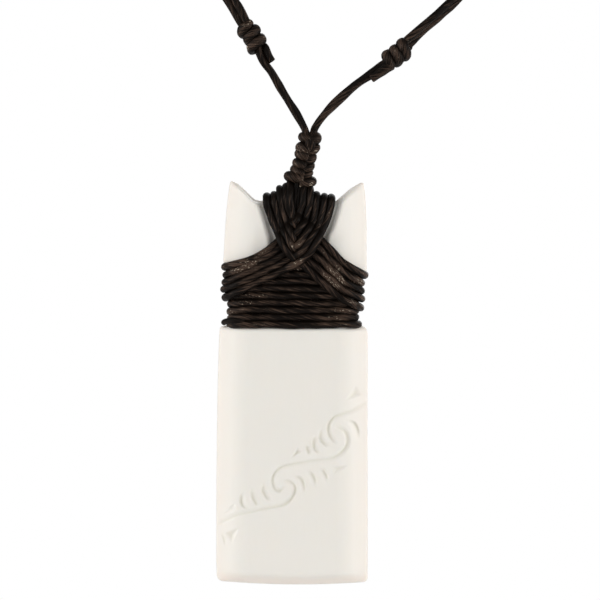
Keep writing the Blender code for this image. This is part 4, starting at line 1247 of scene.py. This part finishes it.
class Route:
    """The neck cord's route in mm, from the column's left side round the neck to its right."""

    def __init__(self, cord):
        left = LEFT_BELOW_KNOT + LEFT_FRONT + LEFT_BACK + (NAPE,)
        right = RIGHT_BELOW_KNOT + RIGHT_FRONT + RIGHT_BACK
        self.points = smooth_points(left + right[::-1])
        x, y, z = self.points.T
        leaning = 1 - smoothstep(*LEAN_ENDS, y)
        self.points = np.column_stack([x, y, z + LEAN * x * leaning])
        self.lengths = lengths_along(self.points)
        self.total = self.lengths[-1]
        self.left_knot = self.length_to(LEFT_BELOW_KNOT)
        self.left_side = self.length_to(LEFT_BELOW_KNOT + LEFT_FRONT)
        self.right_knot = self.length_from(RIGHT_BELOW_KNOT)
        self.right_side = self.length_from(RIGHT_BELOW_KNOT + RIGHT_FRONT)
        self.turns = (cord.left_turn, cord.right_turn)
        self.spacing = cord.spacing / MM

    def length_to(self, section):
        return self.lengths[(len(section) - 1) * ROUTE_STEPS]

    def length_from(self, section):
        return self.lengths[-1 - (len(section) - 1) * ROUTE_STEPS]

    def at(self, distance):
        return read_at(distance, self.lengths, self.points)

    def axes(self, distance):
        """Directions away from the neck and across the route."""
        along = unit(self.at(distance + 1.0) - self.at(distance - 1.0))
        outward = unit((self.at(distance) - NECK_MIDDLE) * (1.0, 1.0, 0.0))
        fronts = (distance < self.left_knot) | (distance > self.right_knot)
        outward[fronts] = (0.0, -1.0, 0.0)
        outward = unit(outward - along * (outward * along).sum(axis=1)[:, None])
        return outward, np.cross(along, outward)

    def pair_direction(self, distance):
        """Direction from the first strand to the second, and the share of the way round."""
        outward, across = self.axes(distance)
        share = np.clip((distance - self.left_knot) / (self.right_knot - self.left_knot), 0.0, 1.0)
        turn = np.where(share < 0.5, *self.turns) * np.abs(2 * share - 1) ** TURN_FADE
        return across * np.cos(turn)[:, None] + outward * np.sin(turn)[:, None], share

    def strand(self, start, end, which):
        """Points of strand 0 or 1 between two distances along the route."""
        distance = np.linspace(start, end, max(2, round((end - start) / CORD_STEP)))
        direction, share = self.pair_direction(distance)
        offset = -share if which == 0 else 1 - share
        sway = LEFT_SWAY * (1 - share) * smoothstep(0.0, SWAY_LENGTH, distance - self.left_knot)
        sway += RIGHT_SWAY * share * smoothstep(0.0, SWAY_LENGTH, self.right_knot - distance)
        across = self.axes(distance)[1]
        beside = direction * (self.spacing * offset)[:, None] + across * sway[:, None]
        return self.at(distance) + beside


class NECKLACE_OT_neck_cords(bpy.types.Operator):
    """Lay the doubled neck cord from the column round the neck"""

    bl_idname = "necklace.neck_cords"
    bl_label = "Neck Cords"

    def execute(self, context):
        settings = context.scene.necklace_cord
        route = Route(settings)
        pitch = settings.knot_pitch / MM
        left_end = route.left_knot + LEFT_KNOT[1] + pitch * LEFT_KNOT[0] / 2
        right_end = route.right_knot - RIGHT_KNOT[1] - pitch * RIGHT_KNOT[0] / 2
        first = route.strand(END_INSET, right_end, 0)
        second = route.strand(left_end, route.total - END_INSET, 1)
        runs = (
            (
                np.vstack([LEFT_ROOT, first]),
                (("cord_left_running", "front_cord_left_running", ["slide_knot_left"]),
                 ("cord_neck_inner", "neck_cord_inner", None),
                 ("cord_right_tied", "front_cord_right_tied", [])),
            ),
            (
                np.vstack([second, RIGHT_ROOT[::-1]]),
                (("cord_left_tied", "front_cord_left_tied", []),
                 ("cord_neck_outer", "neck_cord_outer", None),
                 ("cord_right_running", "front_cord_right_running", ["slide_knot_right"])),
            ),
        )
        for seed, (keys, pieces) in enumerate(runs, 41):
            cord = CordMesh(seed)
            path = even_points(smooth_points(keys, 2), CORD_STEP)
            path = strayed(path, CORD_WANDER, CORD_WAVELENGTH, cord.rng)
            x, y, _ = path.T
            swollen = smoothstep(*SWELLS, x) * smoothstep(*THINS, x) * (y < FRONT_Y)
            radius = mix(STRAND_RADIUS, SWOLLEN_RADIUS, swollen) * settings.diameter
            rings, marks = cord.rings(path * MM, radius, sides=12, flatness=0.1, worn=CORD_WEAR_AND_HIGHLIGHT)
            cuts = [0, *self.cuts(path, route), len(path) - 1]
            for (name, node, knots), first, last in zip(pieces, cuts, cuts[1:]):
                part = CordMesh(seed)
                part.add_rings(rings[first:last + 1], marks[first:last + 1])
                piece = part.build(name)
                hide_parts(node)
                if knots is not None:
                    self.declare(piece, path[first:last + 1] * MM, settings, knots)
        return {"FINISHED"}

    def cuts(self, path, route):
        """Where a strand passes from its front stretches to the one round the neck."""
        sides = route.at(np.array([route.left_side, route.right_side]))
        return [int(np.linalg.norm(path - side, axis=1).argmin()) for side in sides]

    def declare(self, piece, path, settings, knots):
        starts_at_side = abs(path[0][0]) > abs(path[-1][0])
        line = path[::-1] if starts_at_side else path
        tuple(line[0])
        float(lengths_along(line)[-1])
        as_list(knots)


# Keys of a knot's winding, and how far short of its turns it may stop where the cut end lies
KNOT_KEYS, TURN_LACK = 80, 0.6
# Keys of the cut end, and the gap between the winding and it
TAG_KEYS, TAG_GAP = 11, 0.3
KNOT_WANDER, KNOT_WAVELENGTH = 0.06, 4.0
# The cord is thicker at a knot's ends, and flattens and rounds again in these lengths
KNOT_END_SWELL = 1.1
FLATTENS, UNFLATTENS = 1.5, 2.5


def knot_path(route, middle, tied_side, shape, settings):
    """A strand's end wound round the other strand, with its cut end lying along it, in mm."""
    turns, _, tag, tag_turn = shape
    radius = (settings.diameter + settings.knot_thickness) / MM / 2
    half = settings.knot_pitch / MM * turns / 2
    start = np.array([middle + tied_side * half])
    direction, _ = route.pair_direction(start)
    outward, across = route.axes(start)
    entry = direction[0] * tied_side
    start_turn = math.atan2(entry @ outward[0], entry @ across[0])
    end_turn = tag_turn
    while end_turn < start_turn + 2 * math.pi * (turns - TURN_LACK):
        end_turn += 2 * math.pi
    share = np.linspace(0, 1, KNOT_KEYS)
    tag_share = np.linspace(0, 1, TAG_KEYS + 1)[1:]
    ahead = np.concatenate([mix(-half, half, share), half + TAG_GAP + tag * tag_share])
    distance = middle - tied_side * ahead
    turn = np.concatenate([mix(start_turn, end_turn, share), np.full(TAG_KEYS, end_turn)])
    tag_reach = mix(radius, settings.diameter / MM, tag_share)
    reach = np.concatenate([np.full(KNOT_KEYS, radius), tag_reach])
    outward, across = route.axes(distance)
    spoke = across * np.cos(turn)[:, None] + outward * np.sin(turn)[:, None]
    return route.at(distance) + spoke * reach[:, None]


def flattened(rings, directions, shares):
    """Rings pressed to a share of their thickness along a direction of their own."""
    directions = directions[:, None]
    offsets = rings - rings.mean(axis=1, keepdims=True)
    raised = (offsets * directions).sum(axis=2, keepdims=True)
    return rings - directions * raised * (1 - shares)[:, None, None]


class NECKLACE_OT_sliding_knots(bpy.types.Operator):
    """Tie the two sliding knots that adjust the neck cord"""

    bl_idname = "necklace.sliding_knots"
    bl_label = "Sliding Knots"

    def execute(self, context):
        settings = context.scene.necklace_cord
        route = Route(settings)
        for name, node, start, tied_side, shape, seed in (
            ("slide_knot_left", "sliding_knot_left", route.left_knot, 1, LEFT_KNOT, 51),
            ("slide_knot_right", "sliding_knot_right", route.right_knot, -1, RIGHT_KNOT, 52),
        ):
            cord = CordMesh(seed)
            middle = start + tied_side * shape[1]
            path = even_points(knot_path(route, middle, tied_side, shape, settings), FINE_STEP)
            path = strayed(path, KNOT_WANDER, KNOT_WAVELENGTH, cord.rng)
            winding = between_ends(lengths_along(path), FLATTENS, UNFLATTENS)
            width = mix(settings.diameter * KNOT_END_SWELL, settings.knot_width, winding)
            thickness = mix(settings.diameter * KNOT_END_SWELL, settings.knot_thickness, winding)
            nearest = np.linalg.norm(path[:, None] - route.points, axis=2).argmin(axis=1)
            away = unit(path - route.points[nearest])
            looks = {"worn": CORD_WEAR_AND_HIGHLIGHT, "tightness": KNOT_TIGHTNESS, "outward": away}
            rings, marks = cord.rings(path * MM, width / 2, **looks)
            cord.add_rings(flattened(rings, away, thickness / width), marks)
            piece = cord.build(name)
            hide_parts(node)
        return {"FINISHED"}


# What the camera looks at, on the pendant in mm, and what the softboxes light, in metres from it
PICTURE_MIDDLE = (0.58, 0.0, 39.48)
LIT_MIDDLE = np.array([0.0, 0.0, 0.035])
# Softboxes: name, place in metres, width, power
SOFTBOXES = (
    ("front_left_softbox", (-0.48, -0.8, 0.2), 0.3, 1.58),
    ("front_right_softbox", (0.48, -0.8, 0.2), 0.3, 1.52),
    ("left_softbox", (-0.6, -0.26, -0.05), 0.4, 1.8),
    ("right_softbox", (0.6, -0.26, -0.05), 0.4, 1.8),
    ("back_softbox", (0.15, 0.62, 0.12), 0.6, 2.2),
)
FLOOR_RADIUS, FLOOR_SEGMENTS, FLOOR_Y = 0.6, 96, -0.06
FLOOR_GRAIN, FLOOR_GRAIN_TONE, FLOOR_GRAIN_SHARE = 900.0, (0.7, 0.7, 0.7), 0.05


def add_softbox(name, spot, size, power):
    light = bpy.data.lights.new(name, "AREA")
    light.energy = power
    light.size = size
    holder = placed(name, light)
    holder.location = spot
    aim = Vector(PENDANT + LIT_MIDDLE) - Vector(spot)
    holder.rotation_euler = aim.to_track_quat("-Z", "Y").to_euler()


def add_camera(stage):
    """A long lens level with the pendant's middle, rolled by the pendant's lean."""
    data = bpy.data.cameras.new("camera")
    data.sensor_width = 36.0
    data.lens = data.sensor_width * stage.distance / stage.view_width
    data.clip_start = 0.05
    camera = placed("camera", data)
    roll = math.atan(LEAN)
    turn = Matrix((
        (math.cos(roll), -math.sin(roll), 0.0),
        (0.0, 0.0, -1.0),
        (math.sin(roll), math.cos(roll), 0.0),
    ))
    spot = Vector(on_pendant([PICTURE_MIDDLE])[0]) - Vector((0.0, stage.distance, 0.0))
    camera.matrix_world = Matrix.Translation(spot) @ turn.to_4x4()
    bpy.context.scene.camera = camera


def add_world(stage):
    """White behind the object, with softer light from all round."""
    world = bpy.data.worlds.new("studio")
    bpy.context.scene.world = world
    nodes = Nodes(world)
    lit = nodes.fill("Background", Color=stage.backdrop, Strength=stage.ambient)
    seen = nodes.node("ShaderNodeBackground", {"Color": stage.backdrop, "Strength": 1.0})
    rays = nodes.node("ShaderNodeLightPath")
    inputs = {0: rays.outputs["Is Camera Ray"], 1: lit.outputs[0], 2: seen.outputs[0]}
    nodes.fill("World Output", Surface=nodes.node("ShaderNodeMixShader", inputs).outputs[0])


def add_floor(stage):
    edit = bmesh.new()
    bmesh.ops.create_circle(edit, cap_ends=True, radius=FLOOR_RADIUS, segments=FLOOR_SEGMENTS)
    mesh = bpy.data.meshes.new("floor")
    edit.to_mesh(mesh)
    edit.free()
    mesh.transform(Matrix.Translation((0.0, FLOOR_Y, -stage.floor_drop)))
    shader = Nodes(bpy.data.materials.new("pale_floor"))
    grain = shader.noise(shader.object_place(), (FLOOR_GRAIN, FLOOR_GRAIN, FLOOR_GRAIN), 2.0)
    grain = shader.math("MULTIPLY", grain, FLOOR_GRAIN_SHARE)
    mesh.materials.append(shader.finish(
        Base_Color=shader.blend(grain, stage.floor, FLOOR_GRAIN_TONE),
        Roughness=0.7,
        Emission_Color=stage.backdrop,
        Emission_Strength=stage.floor_glow,
    ))
    floor = placed("floor", mesh)


class NECKLACE_OT_stage(bpy.types.Operator):
    """Set up the camera, the pale floor and the soft studio light"""

    bl_idname = "necklace.stage"
    bl_label = "Stage"

    def execute(self, context):
        stage = context.scene.necklace_stage
        context.scene.view_settings.view_transform = "Standard"
        add_camera(stage)
        add_world(stage)
        add_floor(stage)
        for softbox in SOFTBOXES:
            add_softbox(*softbox)
        return {"FINISHED"}


OPERATORS = (
    NECKLACE_OT_stage,
    NECKLACE_OT_neck_cords,
    NECKLACE_OT_sliding_knots,
    NECKLACE_OT_bone_plate,
    NECKLACE_OT_waist_lashing,
    NECKLACE_OT_cross_lashings,
    NECKLACE_OT_column_knot,
)
SETTINGS = {
    "necklace_plate": NecklacePlateSettings,
    "necklace_binding": NecklaceBindingSettings,
    "necklace_cord": NecklaceCordSettings,
    "necklace_stage": NecklaceStageSettings,
}


class NECKLACE_PT_builder(bpy.types.Panel):
    """Steps that build the necklace, with their sizes and colours"""

    bl_idname = "NECKLACE_PT_builder"
    bl_label = "Bone Pendant Necklace"
    bl_space_type = "VIEW_3D"
    bl_region_type = "UI"
    bl_category = "Necklace"

    def draw(self, context):
        for operator in OPERATORS:
            self.layout.operator(operator.bl_idname)
        for name, group in SETTINGS.items():
            box = self.layout.box()
            for setting in group.__annotations__:
                box.prop(getattr(context.scene, name), setting)


def register():
    for made in (*SETTINGS.values(), *OPERATORS, NECKLACE_PT_builder):
        bpy.utils.register_class(made)
    for name, group in SETTINGS.items():
        setattr(bpy.types.Scene, name, bpy.props.PointerProperty(type=group))


def unregister():
    for name in SETTINGS:
        delattr(bpy.types.Scene, name)
    for made in (NECKLACE_PT_builder, *OPERATORS, *SETTINGS.values()):
        bpy.utils.unregister_class(made)


def main():
    register()
    bpy.ops.necklace.stage()
    bpy.ops.necklace.sliding_knots()
    bpy.ops.necklace.neck_cords()
    bpy.ops.necklace.bone_plate()
    bpy.ops.necklace.waist_lashing()
    bpy.ops.necklace.cross_lashings()
    bpy.ops.necklace.column_knot()


if __name__ == "__main__":
    main()
